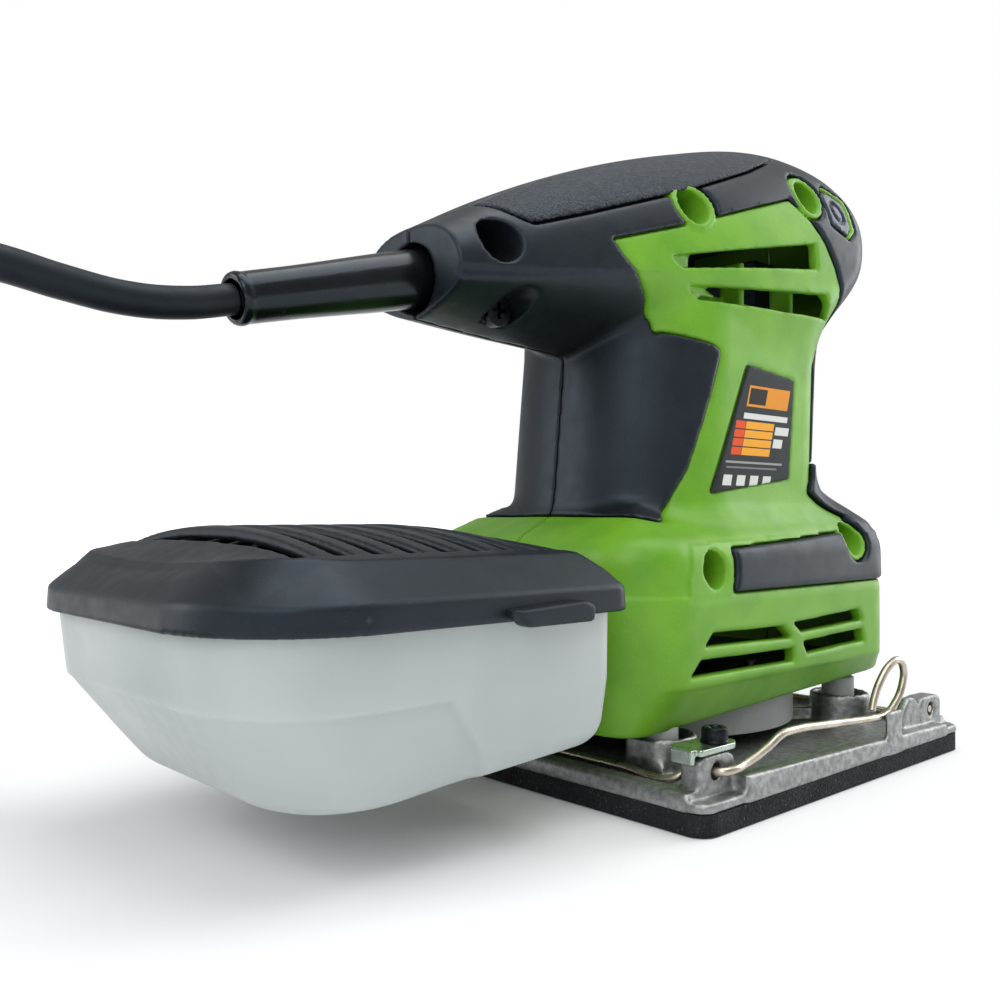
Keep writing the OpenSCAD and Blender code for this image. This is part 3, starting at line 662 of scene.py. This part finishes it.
def make_housing():
    """The right and left housings and their covers, on one grid of the right half."""
    g = Grid((-89, -43, 12), (60, 2.4, 164), 0.6)
    body = body_field(g)
    black2d = outline(g.x, g.z, BLACK)
    black_all = np.minimum(black2d, outline(g.x, g.z, NOSE))
    pads = pad_outline(g)
    # Above the base the green stands half a millimetre lower, and a lining runs on behind the covers
    surface = body + 0.5 * np.clip((g.z - 60) / 3, 0, 1)
    wall = np.maximum(surface, -(body + WALL))
    lining = np.maximum(body + 2.0, -(body + WALL + 0.3))
    button_rim = np.minimum(button_outline(g.x - 1.0, g.z - 0.3, 0.9), button_outline(g.x, g.z, 0.3))
    rim = np.maximum(np.maximum(button_rim, body + 0.1), -(body + WALL + 1.5))
    slots = outline(g.x, g.z, SLOTS[0])
    for slot in SLOTS[1:]:
        slots = np.minimum(slots, outline(g.x, g.z, slot))
    slots = np.maximum(slots, g.y + 26 - 6 * (g.z < 60))
    baffle = make_baffle(g, body)
    label2d = outline(g.x, g.z, LABEL)

    for side, mirrored in (("right", False), ("left", True)):
        shell = smax(wall, 0.14 - black_all, 0.6)
        shell = smax(np.minimum(shell, np.maximum(lining, -(g.x + 78))), -slots, 0.6)
        shell = np.minimum(np.minimum(shell, baffle), rim)
        if not mirrored:
            head_bosses = np.maximum(discs(g, HEAD_BOSSES, 5.6), np.maximum(body, g.y + 15))
            base_bosses = np.maximum(discs(g, BASE_BOSSES, 5.3), np.maximum(body + 0.1, g.y + 27))
            shell = np.minimum(np.minimum(shell, head_bosses), base_bosses)
            shell = smax(shell, -holes(g, HEAD_BOSSES, 4.3, 18.4), 0.5)
            shell = smax(shell, -holes(g, BASE_BOSSES, 4.1, 29.4), 0.5)
            shell = smax(shell, -handle_holes(g, 0.1, COVER_RECESS), 0.3)
            shell = np.maximum(shell, -np.maximum(label2d, -(body + 1.0)))
        shell = np.maximum(shell, 0.25 - button_outline(g.x, g.z) - 9 * (body < -WALL - 1.5))
        shell = np.maximum(shell, g.y + SEAM)
        part = solid(side + "_housing_shell", g, shell, mirrored)
        place(part, "housing", "green_plastic", green, side + "_housing")

        cover = smax(layer(body, COVER), black2d + 0.14, 0.9)
        cover = smax(cover, -np.maximum(pads - 0.25, -(body + 1.3)), 0.5)
        cover = smax(cover, -(button_rim - 0.25), 0.5)
        if not mirrored:
            cover = smax(cover, -discs(g, [(x + 0.4, z + 0.3) for x, z in HEAD_BOSSES], 6.3), 0.6)
            cover = np.minimum(cover, np.maximum(handle_holes(g, 1.3, 5), body))
            cover = smax(cover, -handle_holes(g, 0, COVER_RECESS), 0.6)
        cover = np.maximum(cover, g.y + SEAM)
        part = solid(side + "_cover_shell", g, cover, mirrored)
        place(part, "housing", "black_plastic", black, side + "_cover")


def make_grip_and_bumper():
    """The grip pads and the bumper, each in one piece across the midplane."""
    g = Grid((-78, -33, 112), (30, 33, 164), 0.6)
    body = unit_field(head_form(g), g.step)
    pad = smax(np.maximum(body - 0.05, -(body + 1.2)), pad_outline(g) + 0.2, 0.9)
    place(solid("grip_skin", g, pad), "housing", "grip_rubber", grip, "grip_pad")

    g = Grid((-30, -43, 40), (60, 43, 82), 0.6)
    body = body_field(g)
    proud = 0.7 + 0.6 * np.clip((g.x - 22) / 10, 0, 1) * np.clip((g.z - 54) / 4, 0, 1)
    band = smax(np.maximum(body - proud, -(body + 2.4)), outline(g.x, g.z, NOSE) + 0.14, 0.9)
    band = smax(band, -np.where(g.y < 0, discs(g, BASE_BOSSES, 5.7), 9), 0.5)
    place(solid("bumper_skin", g, band), "housing", "black_plastic", black, "bumper")


def make_button():
    """The lock button: a hexagonal bar right through the head, its faces flush with the surface."""
    g = Grid((24, -34, 128), (50, 34, 152), 0.5)
    body = unit_field(head_form(g), g.step)
    bar = np.maximum(body + 0.1, button_outline(g.x, g.z, -0.25))
    lean, rise = button_axes(g.x, g.z)
    mark = np.abs(np.sqrt((lean * 1.5) ** 2 + rise**2) - 3.0) - 0.45
    bar = smax(bar, -np.maximum(mark, -(body + 0.7)), 0.3)
    core = rounded_rect(g.x - BUTTON[0], g.z - BUTTON[1], 3, 3, 1)
    bar = np.where(np.abs(g.y) < 18, np.maximum(core, body), bar)
    place(solid("lock_button", g, bar), "switch", "button_plastic", button, "switch_slider")


# ---------------------------------------------------------------- dust box

BOX_FRONT, BOX_REAR = -65.0, -143.0
RIM_Z = 46.0
SPOUT_Z = 31.0
PORT_R = 12.9
LID_Z = 42.5      # lower edge of the lid's band
# The lid's slots: how many, the rear one's place along X, and from one to the next
LID_SLOTS, FIRST_SLOT, SLOT_PITCH = 9, -127.6, 7.0


def plan(g, rear, front, half_w, rear_r, front_r):
    """A rounded rectangle seen from above, with larger corners behind than in front."""
    centre, half_len = (rear + front) / 2, (front - rear) / 2
    round_rear = rounded_rect(g.x - centre, g.y, half_len, half_w, rear_r)
    square_front = rounded_rect(g.x - centre, g.y, half_len, half_w, front_r)
    return np.where(g.x < (BOX_FRONT + BOX_REAR) / 2, round_rear, square_front)


def container_form(g):
    """The container's outside: steep walls over a long slant behind, with a sunk lower panel."""
    rear = straight(g.z, [(8, -124), (14, -129.5), (29.5, -141), (46, -142.4)])
    front = straight(g.z, [(8, -72.5), (17, -68.6), (22, -66.8), (46, BOX_FRONT - 1.6)])
    half_w = straight(g.z, [(8, 34.5), (14, 37.4), (20, 39.8), (30, 42.4), (46, 44)])
    half_w = half_w + 2.2 * np.clip((g.x + 100) / 30, 0, 1) * np.clip((44 - g.z) / 24, 0, 1)
    walls = plan(g, rear, front, half_w, 20, 4)
    low_panel = outline(g.x, g.z, [(-160, 30.3), (-104, 30.3), (-96, 20), (-88, 0), (-160, 0)])
    walls = walls + 0.9 * np.clip(0.3 - low_panel / 0.9, 0, 1)
    bottom = 11.6 + 0.11 * np.clip(g.x + 122, 0, 60) - g.z
    return unit_field(smax(walls, bottom, 4), g.step)


def make_dust_box():
    """The milky container, open at the top and at the port."""
    g = Grid((-145, -47, 7), (-62, 47, 48), 0.6)
    form = container_form(g)
    shell = np.maximum(layer(form, 1.8), g.z - RIM_Z)
    port = disc(g.y, g.z, (0, SPOUT_Z), PORT_R)
    shell = np.maximum(shell, -np.maximum(port, -75 - g.x))
    place(solid("dust_container", g, shell), "dust_box", "box_plastic", box_pp, "dust_box")


def lid_form(g):
    """The lid's outside: a band, a bevelled shoulder and an arched crown, dished behind."""
    edge = plan(g, BOX_REAR - 1.6, BOX_FRONT + 0.9, 46.3, 24, 4.5)
    walls = edge + 0.06 * (g.z - LID_Z)
    shoulder = 46.7 + 0.86 * np.minimum(-edge, 7.6)
    across = np.clip(1 - (g.y / 38.5) ** 2, 0, 1)
    ends = np.clip((g.x + 138) / 12, 0, 1) * np.clip((-67 - g.x) / 22, 0, 1)
    crown = 5.0 * across * ends * (2 - ends)
    dish = 2.6 * np.exp(-(((g.x + 133) / 6) ** 2 + (g.y / 29) ** 2) ** 1.5)
    form = smax(walls, (g.z - shoulder - crown + dish) * 0.82, 0.5)
    return unit_field(form, g.step)


def make_lid():
    """The slotted lid."""
    g = Grid((-147, -49, 41), (-60, 49, 61), 0.5)
    form = lid_form(g)
    shell = np.maximum(layer(form, 2), LID_Z - g.z)
    for i in range(LID_SLOTS):
        slot = np.maximum(np.abs(g.x - FIRST_SLOT - SLOT_PITCH * i) - 1.6, np.abs(g.y) - 35.4)
        shell = smax(shell, -np.maximum(slot, 50 - g.z), 0.6)
    place(solid("lid_shell", g, shell), "dust_box_lid", "black_plastic", black, "dust_box_lid")


def make_latch():
    """The plain thumb tab under the lid's edge."""
    g = Grid((-99, -51, 39), (-75, -45, 48), 0.3)
    corners = [(-97, 44.6), (-93.5, 41.6), (-78, 41.6), (-77.6, 44.4), (-80, 45.4)]
    side = outline(g.x, g.z, softened(corners, 0.8))
    tab = smax(side, np.abs(g.y + 47.2) - 1.9, 1.0)
    place(solid("latch_tab", g, tab), "dust_box_lid", "black_plastic", black, "box_latch")


# ---------------------------------------------------------------- sanding plate

PLATE_LOW, PLATE_TOP = 4.2, 6.2
HALF = 55.0
CUPS = [(-37.5, -31), (-37.5, 31), (37, -31), (37, 31)]
CUP_TOP = 13.6
ORBIT = 0.8               # how far the plate's middle stands off the motor's axis
PIVOT = (-46, 10.6)       # the rear wire's hinge, as X and Z
TROUGH = (44.4, 50.2)     # where the wires lie across the plate, from its middle
CLAMP_SCREW = (-43.0, -48.6)
HALF_TURN = Matrix.Rotation(math.pi, 4, "Z")


def plate_corner(g):
    """What stands on the plate at its rear and right; the front and left repeat it, turned."""
    rear_lip = block(g, (-HALF, -50.6), (-51, 51), (PLATE_LOW, 7.6))
    wall_top = 9.4 - 0.025 * (g.x + 40)
    side_wall = np.maximum(block(g, (-41, 47), (-HALF, -51.2), (PLATE_LOW, 10)), g.z - wall_top)
    hook = block(g, (16, 23), (-HALF, -54.0), (PLATE_LOW, 14.2), 0.4)
    form = smin(smin(rear_lip, side_wall, 1.0), hook, 0.8)
    corners = [(-51.5, 4), (-51.5, 13), (-49.5, 14), (-42, 14), (-40, 12.5), (-40, 4)]
    bracket = outline(g.x, g.z, softened(corners, 1.2))
    for y in (-49, 49):
        form = smin(form, smax(bracket, np.abs(g.y - y) - 2.5, 0.6), 1.0)
    rounded_tab = outline(g.x, g.z, softened([(30, 4), (30.5, 11), (36, 16), (41, 11), (42, 4)], 4))
    return smin(form, smax(rounded_tab, np.abs(g.y + 50) - 1.3, 0.6), 0.8)


def make_plate():
    """The cast plate: floor, lips, ears, cups, hub and ribs."""
    g = Grid((-56.5, -56.5, 3.4), (56.5, 56.5, 17.4), 0.6)
    form = smax(rounded_rect(g.x, g.y, HALF, HALF, 3.5), np.abs(g.z - 5.2) - 1.0, 0.5)
    form = smin(form, plate_corner(g), 0.9)
    form = smin(form, plate_corner(Turned(g)), 0.9)
    hub = smax(disc(g.x, g.y, (0, 0), 17), np.maximum(g.z - 14.4, PLATE_LOW - g.z), 0.6)
    form = smin(form, hub, 1.5)
    for cx, cy in CUPS:
        cup = smax(disc(g.x, g.y, (cx, cy), 7.5), np.maximum(g.z - CUP_TOP, PLATE_LOW - g.z), 0.5)
        form = smin(form, cup, 1.6)
        length = math.hypot(cx, cy)
        off = np.abs(g.x * cy - g.y * cx) / length - 0.9
        rib = np.maximum(off, np.maximum(g.z - 9.5, 5 - g.z))
        along = (g.x * cx + g.y * cy) / length
        form = smin(form, np.maximum(rib, np.abs(along - 28) - 14), 1.0)
        ear_at = (cx + 9 * np.sign(cx), cy * 1.12)
        ear = smax(disc(g.x, g.y, ear_at, 3.4), np.maximum(g.z - 8.6, 4.4 - g.z), 0.5)
        form = smin(form, ear, 1.2)
    for sign in (-1, 1):
        across = sorted(sign * u for u in TROUGH)
        trough = block(g, across, (-46.6, 46.6), (5.2, 30), 0.4)
        form = smax(form, -trough, 0.6)
        bore = disc(sign * g.x, g.z, PIVOT, 1.8)
        form = smax(form, -np.maximum(bore, 45 - np.abs(g.y)), 0.3)
    for cx, cy in CUPS:
        form = smax(form, -np.maximum(disc(g.x, g.y, (cx, cy), 6.3), PLATE_TOP - g.z), 0.4)
    form = smax(form, -np.maximum(disc(g.x, g.y, (ORBIT, 0), 14), PLATE_TOP - g.z), 0.4)
    form = np.maximum(form, -disc(g.x, g.y, (ORBIT, 0), 8.5))
    for i in range(6):
        angle = math.tau * i / 6
        form = np.maximum(form, -disc(g.x, g.y, (24 * math.cos(angle), 24 * math.sin(angle)), 4))
    place(solid("plate_casting", g, form), "plate", "cast_aluminium", casting, "sanding_plate")


def clamp_route(turn):
    """One clamp wire: hinged in two ears, cranked along the trough, with a finger loop on its lever."""
    x, z = PIVOT
    low_x, low_z = x - 2.6, z - 2.6
    lever = -52.9
    points = [(x, 51, z), (x, 46.0, z), (x - 1.3, 44.3, z - 1.3), (low_x, 42.6, low_z), (low_x, 30, low_z),
              (low_x, 0, low_z), (low_x, -30, low_z), (low_x, -42.6, low_z), (x - 1.3, -44.3, z - 1.3),
              (x, -46.0, z), (x, -49, z), (x, -51.9, z), (x + 1, lever, z + 0.1), (-39, lever, 11.2),
              (-31, lever, 13.2), (-26, lever, 15.0), (-22, lever, 15.3), (-8, lever, 14.5),
              (12, lever, 13.1), (18, lever, 13.0), (23, lever, 15.0), (27, lever, 19.2),
              (27.6, lever, 23), (25.2, lever, 25.2), (21, lever, 24.6), (16.4, lever, 21.6),
              (13, lever, 17.4), (12, lever, 14.9)]
    return [(turn * px, turn * py, pz) for px, py, pz in points]


def make_clamps():
    """The wires, with the plated bridges and black screws that hold them down."""
    for name, turn in (("rear", 1), ("front", -1)):
        wire = line(name + "_wire", clamp_route(turn), 0.9, sides=4)
        place(wire, name + "_clamp", "clamp_wire", nickel_wire, name + "_clamp_wire")
    plates, screws = [], []
    sx, sy = CLAMP_SCREW
    g = Grid((-54, -54, 12), (-36, -42, 20), 0.25)
    corners = [(-51.4, -51.6), (-40.2, -51.6), (-37.8, -49.8), (-37.8, -46), (-39.6, -43.8), (-51.4, -43.8)]
    flat = smax(outline(g.x, g.y, softened(corners, 0.8)), np.abs(g.z - 14.75) - 0.65, 0.3)
    bent = block(g, (-52.6, -51.4), (-50.4, -45), (12.4, 15.4), 0.4)
    head = smax(disc(g.x, g.y, (sx, sy), 2.6), np.abs(g.z - 17.0) - 1.5, 0.7)
    washer = smax(disc(g.x, g.y, (sx, sy), 2.9), np.abs(g.z - 15.6) - 0.25, 0.2)
    cross = np.minimum(block(g, (sx - 1.6, sx + 1.6), (sy - 0.35, sy + 0.35), (17.2, 20), 0.1),
                       block(g, (sx - 0.35, sx + 0.35), (sy - 1.6, sy + 1.6), (17.2, 20), 0.1))
    for name in ("rear", "front"):
        plates.append(solid("bridge_" + name, g, smin(flat, bent, 0.4)))
        screws.append(solid("bridge_screw_" + name, g, smax(np.minimum(head, washer), -cross, 0.2)))
    for ob in (plates[1], screws[1]):
        ob.data.transform(HALF_TURN)
    place_all(plates, "plate", "zinc_steel", zinc_plated, "clamp_plates")
    place_all(screws, "plate", "black_steel", black_oxide, "clamp_screws")


def make_posts():
    """The four flexible posts between the base and the plate's cups."""
    posts = []
    for i, (x, y) in enumerate(CUPS):
        g = Grid((x - 7.8, y - 7, 6), (x + 6.2, y + 7, 20), 0.4)
        post = smax(disc(g.x, g.y, (x - ORBIT, y), 4.1), np.abs(g.z - 12.7) - 5.2, 0.6)
        posts.append(solid("flexible_post_%d" % (i + 1), g, post))
    place_all(posts, "housing", "post_plastic", post_grey, "flexible_posts")


# ---------------------------------------------------------------- relief, plug and tie

def make_relief():
    """The tapered, glossy sleeve that the cord leaves through, with a lip round its socket."""
    g = Grid((-124, -9, 90), (-70, 9, 118), 0.3)
    a = Axial(g, RELIEF_END, RELIEF_SLOPE)
    radius = curve(a.along, [(0, 4.7), (2.2, 4.75), (12, 4.95), (36, 5.9), (50, 6.2)])
    lip = 0.25 * np.clip(1 - np.abs(a.along - 1.2) / 1.1, 0, 1)
    form = smax(a.reach - radius - lip, np.maximum(-a.along, a.along - 46), 0.7)
    form = smax(form, -np.maximum(a.reach - CORD_R - 0.7, a.along - 4), 0.5)
    return place(solid("relief_sleeve", g, form), "housing", "relief_rubber", glossy, "strain_relief")


def make_plug():
    """A moulded two-pin plug, lying flat beside the coil."""
    g = Grid((-230, 49, -1), (-172, 88, 27), 0.5)
    a = Axial(g, PLUG, 0.0)
    radius = curve(a.along, [(-2, 4.3), (0, 4.4), (18, 5.8), (23, 7.6), (29, 13.5), (37, 17.0), (54, 17.4)])
    form = smax(a.reach - radius, np.maximum(-a.along, a.along - 54), 1.6)
    form = smax(form, np.abs(a.up) - 12.6, 2.5)
    for i in range(5):
        rib = np.maximum(np.abs(a.along - 4 - 3.4 * i) - 0.6, 5.0 + 0.05 * i - a.reach)
        form = smax(form, -rib, 0.5)
    for i in range(4):
        groove = np.maximum(np.abs(a.along - 31 - 4 * i) - 0.8, 16.4 - a.reach)
        form = smax(form, -groove, 0.8)
    form = smax(form, -np.maximum(a.reach - CORD_R, a.along - 3), 0.3)
    return place(solid("plug_body", g, form), "housing", "cord_rubber", rubber, "mains_plug")


def make_tie():
    """A plastic strap with a small lock, round the coil's two layers."""
    g = Grid((-302, 18, -0.4), (-262, 30, 16), 0.35)
    x, y = COIL_X - 34, COIL_Y
    outer = rounded_rect(g.x - x, g.z - 6.4, 15, 6.4, 3.0)
    strap = smax(np.abs(outer + 0.6) - 0.6, np.abs(g.y - y) - 2.0, 0.4)
    lock = block(g, (x - 6, x + 0.5), (y - 3.2, y + 3.2), (11.8, 15.4), 0.8)
    tail = block(g, (x, x + 12), (y - 1.9, y + 1.9), (13.0, 14.1), 0.4)
    form = smin(smin(strap, lock, 0.4), tail, 0.4)
    return place(solid("coil_strap", g, form), "housing", "tie_plastic", tie, "cord_tie")


# ---------------------------------------------------------------- label

AMBER, ORANGE, YELLOW, PALE = srgb(214, 138, 36), srgb(214, 78, 32), srgb(226, 158, 44), srgb(206, 208, 204)
# The bars: from and to along X, from and to along Z, and the colour
LABEL_BARS = (
    [(-5.2, 12.4, 85.9, 91.0, AMBER), (-4.6, 2.6, 86.5, 90.4, srgb(38, 36, 34))]
    + [(-5.6, 13.2, 82.9, 84.3, PALE)]
    + [(-8.2, -4.2, 74.2 + 2.1 * i, 76.0 + 2.1 * i, ORANGE) for i in range(4)]
    + [(-4.0, 7.8, 74.2 + 2.1 * i, 76.0 + 2.1 * i, YELLOW) for i in range(4)]
    + [(8.6, 14.6, 79.6, 81.6, PALE), (8.6, 12.6, 76.4, 78.6, PALE)]
    + [(-9.6, 14.0, 72.2, 72.7, srgb(150, 150, 148)), (-9.0, 12.0, 71.0, 71.4, srgb(120, 120, 118))]
    + [(-9.4 + 5.4 * i, -6.0 + 5.4 * i, 66.9, 69.4, PALE) for i in range(4)])


def label_finish():
    """A dark printed label with generic bars, drawn from its own X and Z in millimetres."""
    f = Finish("rating_label_print", Roughness=0.5, Specular_IOR_Level=0.12)
    split = f.node("ShaderNodeSeparateXYZ", Vector=f.place)
    x = f.math("MULTIPLY", split.outputs["X"], 1000.0)
    z = f.math("MULTIPLY", split.outputs["Z"], 1000.0)
    lean = f.math("MULTIPLY", f.math("SUBTRACT", z, 80.0), 0.3)
    x = f.math("SUBTRACT", x, lean)

    def bar(x0, x1, z0, z1):
        across = f.math("COMPARE", x, (x0 + x1) / 2, (x1 - x0) / 2)
        up = f.math("COMPARE", z, (z0 + z1) / 2, (z1 - z0) / 2)
        return f.math("MULTIPLY", across, up)

    tone = f.mix(f.noise(400.0), srgb(36, 40, 42), srgb(48, 53, 55))
    for x0, x1, z0, z1, paint in LABEL_BARS:
        tone = f.mix(bar(x0, x1, z0, z1), tone, paint)
    f.colour(tone)
    return f.relief(f.noise(1200.0), 0.05, 0.0001).material


def make_label():
    """The label: a thin plate in the neck's right side."""
    g = Grid((-22, -33, 62), (20, -24, 98), 0.4)
    body = body_field(g)
    label = np.maximum(np.maximum(body + 0.1, -(body + 0.8)), outline(g.x, g.z, LABEL) + 0.15)
    place(solid("label_plate", g, label), "housing", "label", label_finish(), "rating_label")


# ---------------------------------------------------------------- everything that the CAD already shapes

CAD_FINISHES = {
    "housing_screws": black_oxide, "inner_lead": cable, "cord_clamp": black, "cord_clamp_screws": steel,
    "switch_body": black, "capacitor": case, "field_core": sheets, "field_coils": copper,
    "brush_holders": brass, "carbon_brushes": carbon, "brush_springs": steel, "upper_bearing": polished,
    "lower_bearing": polished, "base_plate": black, "base_plate_screws": steel,
    "post_screws": steel, "dust_skirt": skirt, "dust_spout": black, "armature_shaft": polished,
    "armature_core": sheets, "armature_windings": copper, "commutator": bars, "cooling_fan": black,
    "counterweight": zinc_casting, "bearing_screw": black_oxide, "foam_pad": pad_foam,
    "eccentric_bearing": polished, "port_seal": rubber, "filter_sheet": fleece, "plug_pins": pins,
}


def finish_cad_nodes():
    """Gives the CAD's own pieces their materials."""
    for name, finish in CAD_FINISHES.items():
        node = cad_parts[name]
        node.data.materials.clear()
        node.data.materials.append(finish)


# ---------------------------------------------------------------- stage and light

def area_light(name, place_at, target, size, power):
    """A white rectangular lamp, turned to its target."""
    data = bpy.data.lights.new(name, "AREA")
    data.shape = "RECTANGLE"
    data.size, data.size_y = size
    data.energy = power
    lamp = bpy.data.objects.new(name, data)
    bpy.context.scene.collection.objects.link(lamp)
    lamp.location = place_at
    aim = Vector(target) - Vector(place_at)
    lamp.rotation_euler = aim.to_track_quat("-Z", "Y").to_euler()


def make_stage():
    """A white floor that fades into a white surround, under soft light from above and all round."""
    bpy.ops.mesh.primitive_plane_add(size=12, location=(0, 0, -0.0002))
    floor = bpy.context.object
    floor.name = "floor"
    f = Finish("floor_paint", Roughness=0.7)
    f.colour(f.mix(f.noise(3.0), srgb(238, 239, 240), srgb(242, 243, 244)))
    away = f.node("ShaderNodeVectorMath", Vector=f.place)
    away.operation = "LENGTH"
    f.shader.inputs["Emission Color"].default_value = (1, 1, 1, 1)
    f.feed(f.shader.inputs["Emission Strength"], f.ramp(away.outputs["Value"], 0.3, 1.1))
    floor.data.materials.append(f.material)

    world = bpy.data.worlds.new("studio")
    bpy.context.scene.world = world
    world.use_nodes = True
    nodes, links = world.node_tree.nodes, world.node_tree.links
    sky = nodes["Background"]
    sky.inputs["Color"].default_value = (1.0, 1.0, 1.0, 1.0)
    seen = nodes.new("ShaderNodeLightPath").outputs["Is Camera Ray"]
    strength = nodes.new("ShaderNodeMapRange")
    strength.inputs["To Min"].default_value = 0.42
    strength.inputs["To Max"].default_value = 1.0
    links.new(seen, strength.inputs["Value"])
    links.new(strength.outputs[0], sky.inputs["Strength"])
    middle = (-0.02, 0.0, 0.07)
    area_light("key", (-0.8, -0.5, 0.7), middle, (0.7, 0.7), 4.4)
    area_light("top", (0.05, -0.15, 1.0), middle, (0.9, 0.9), 6.4)
    area_light("front_side", (0.9, -0.3, 0.45), middle, (0.5, 0.8), 4.4)
    area_light("rim", (-0.75, 0.5, 0.4), middle, (0.5, 0.7), 3.0)
    bpy.context.scene.view_settings.view_transform = "Standard"


# ---------------------------------------------------------------- building it all

cord = make_cord()
relief = make_relief()
plug = make_plug()
strap = make_tie()
make_housing()
make_grip_and_bumper()
make_button()
make_label()
make_dust_box()
make_lid()
make_latch()
make_plate()
make_posts()
make_clamps()
finish_cad_nodes()
make_stage()
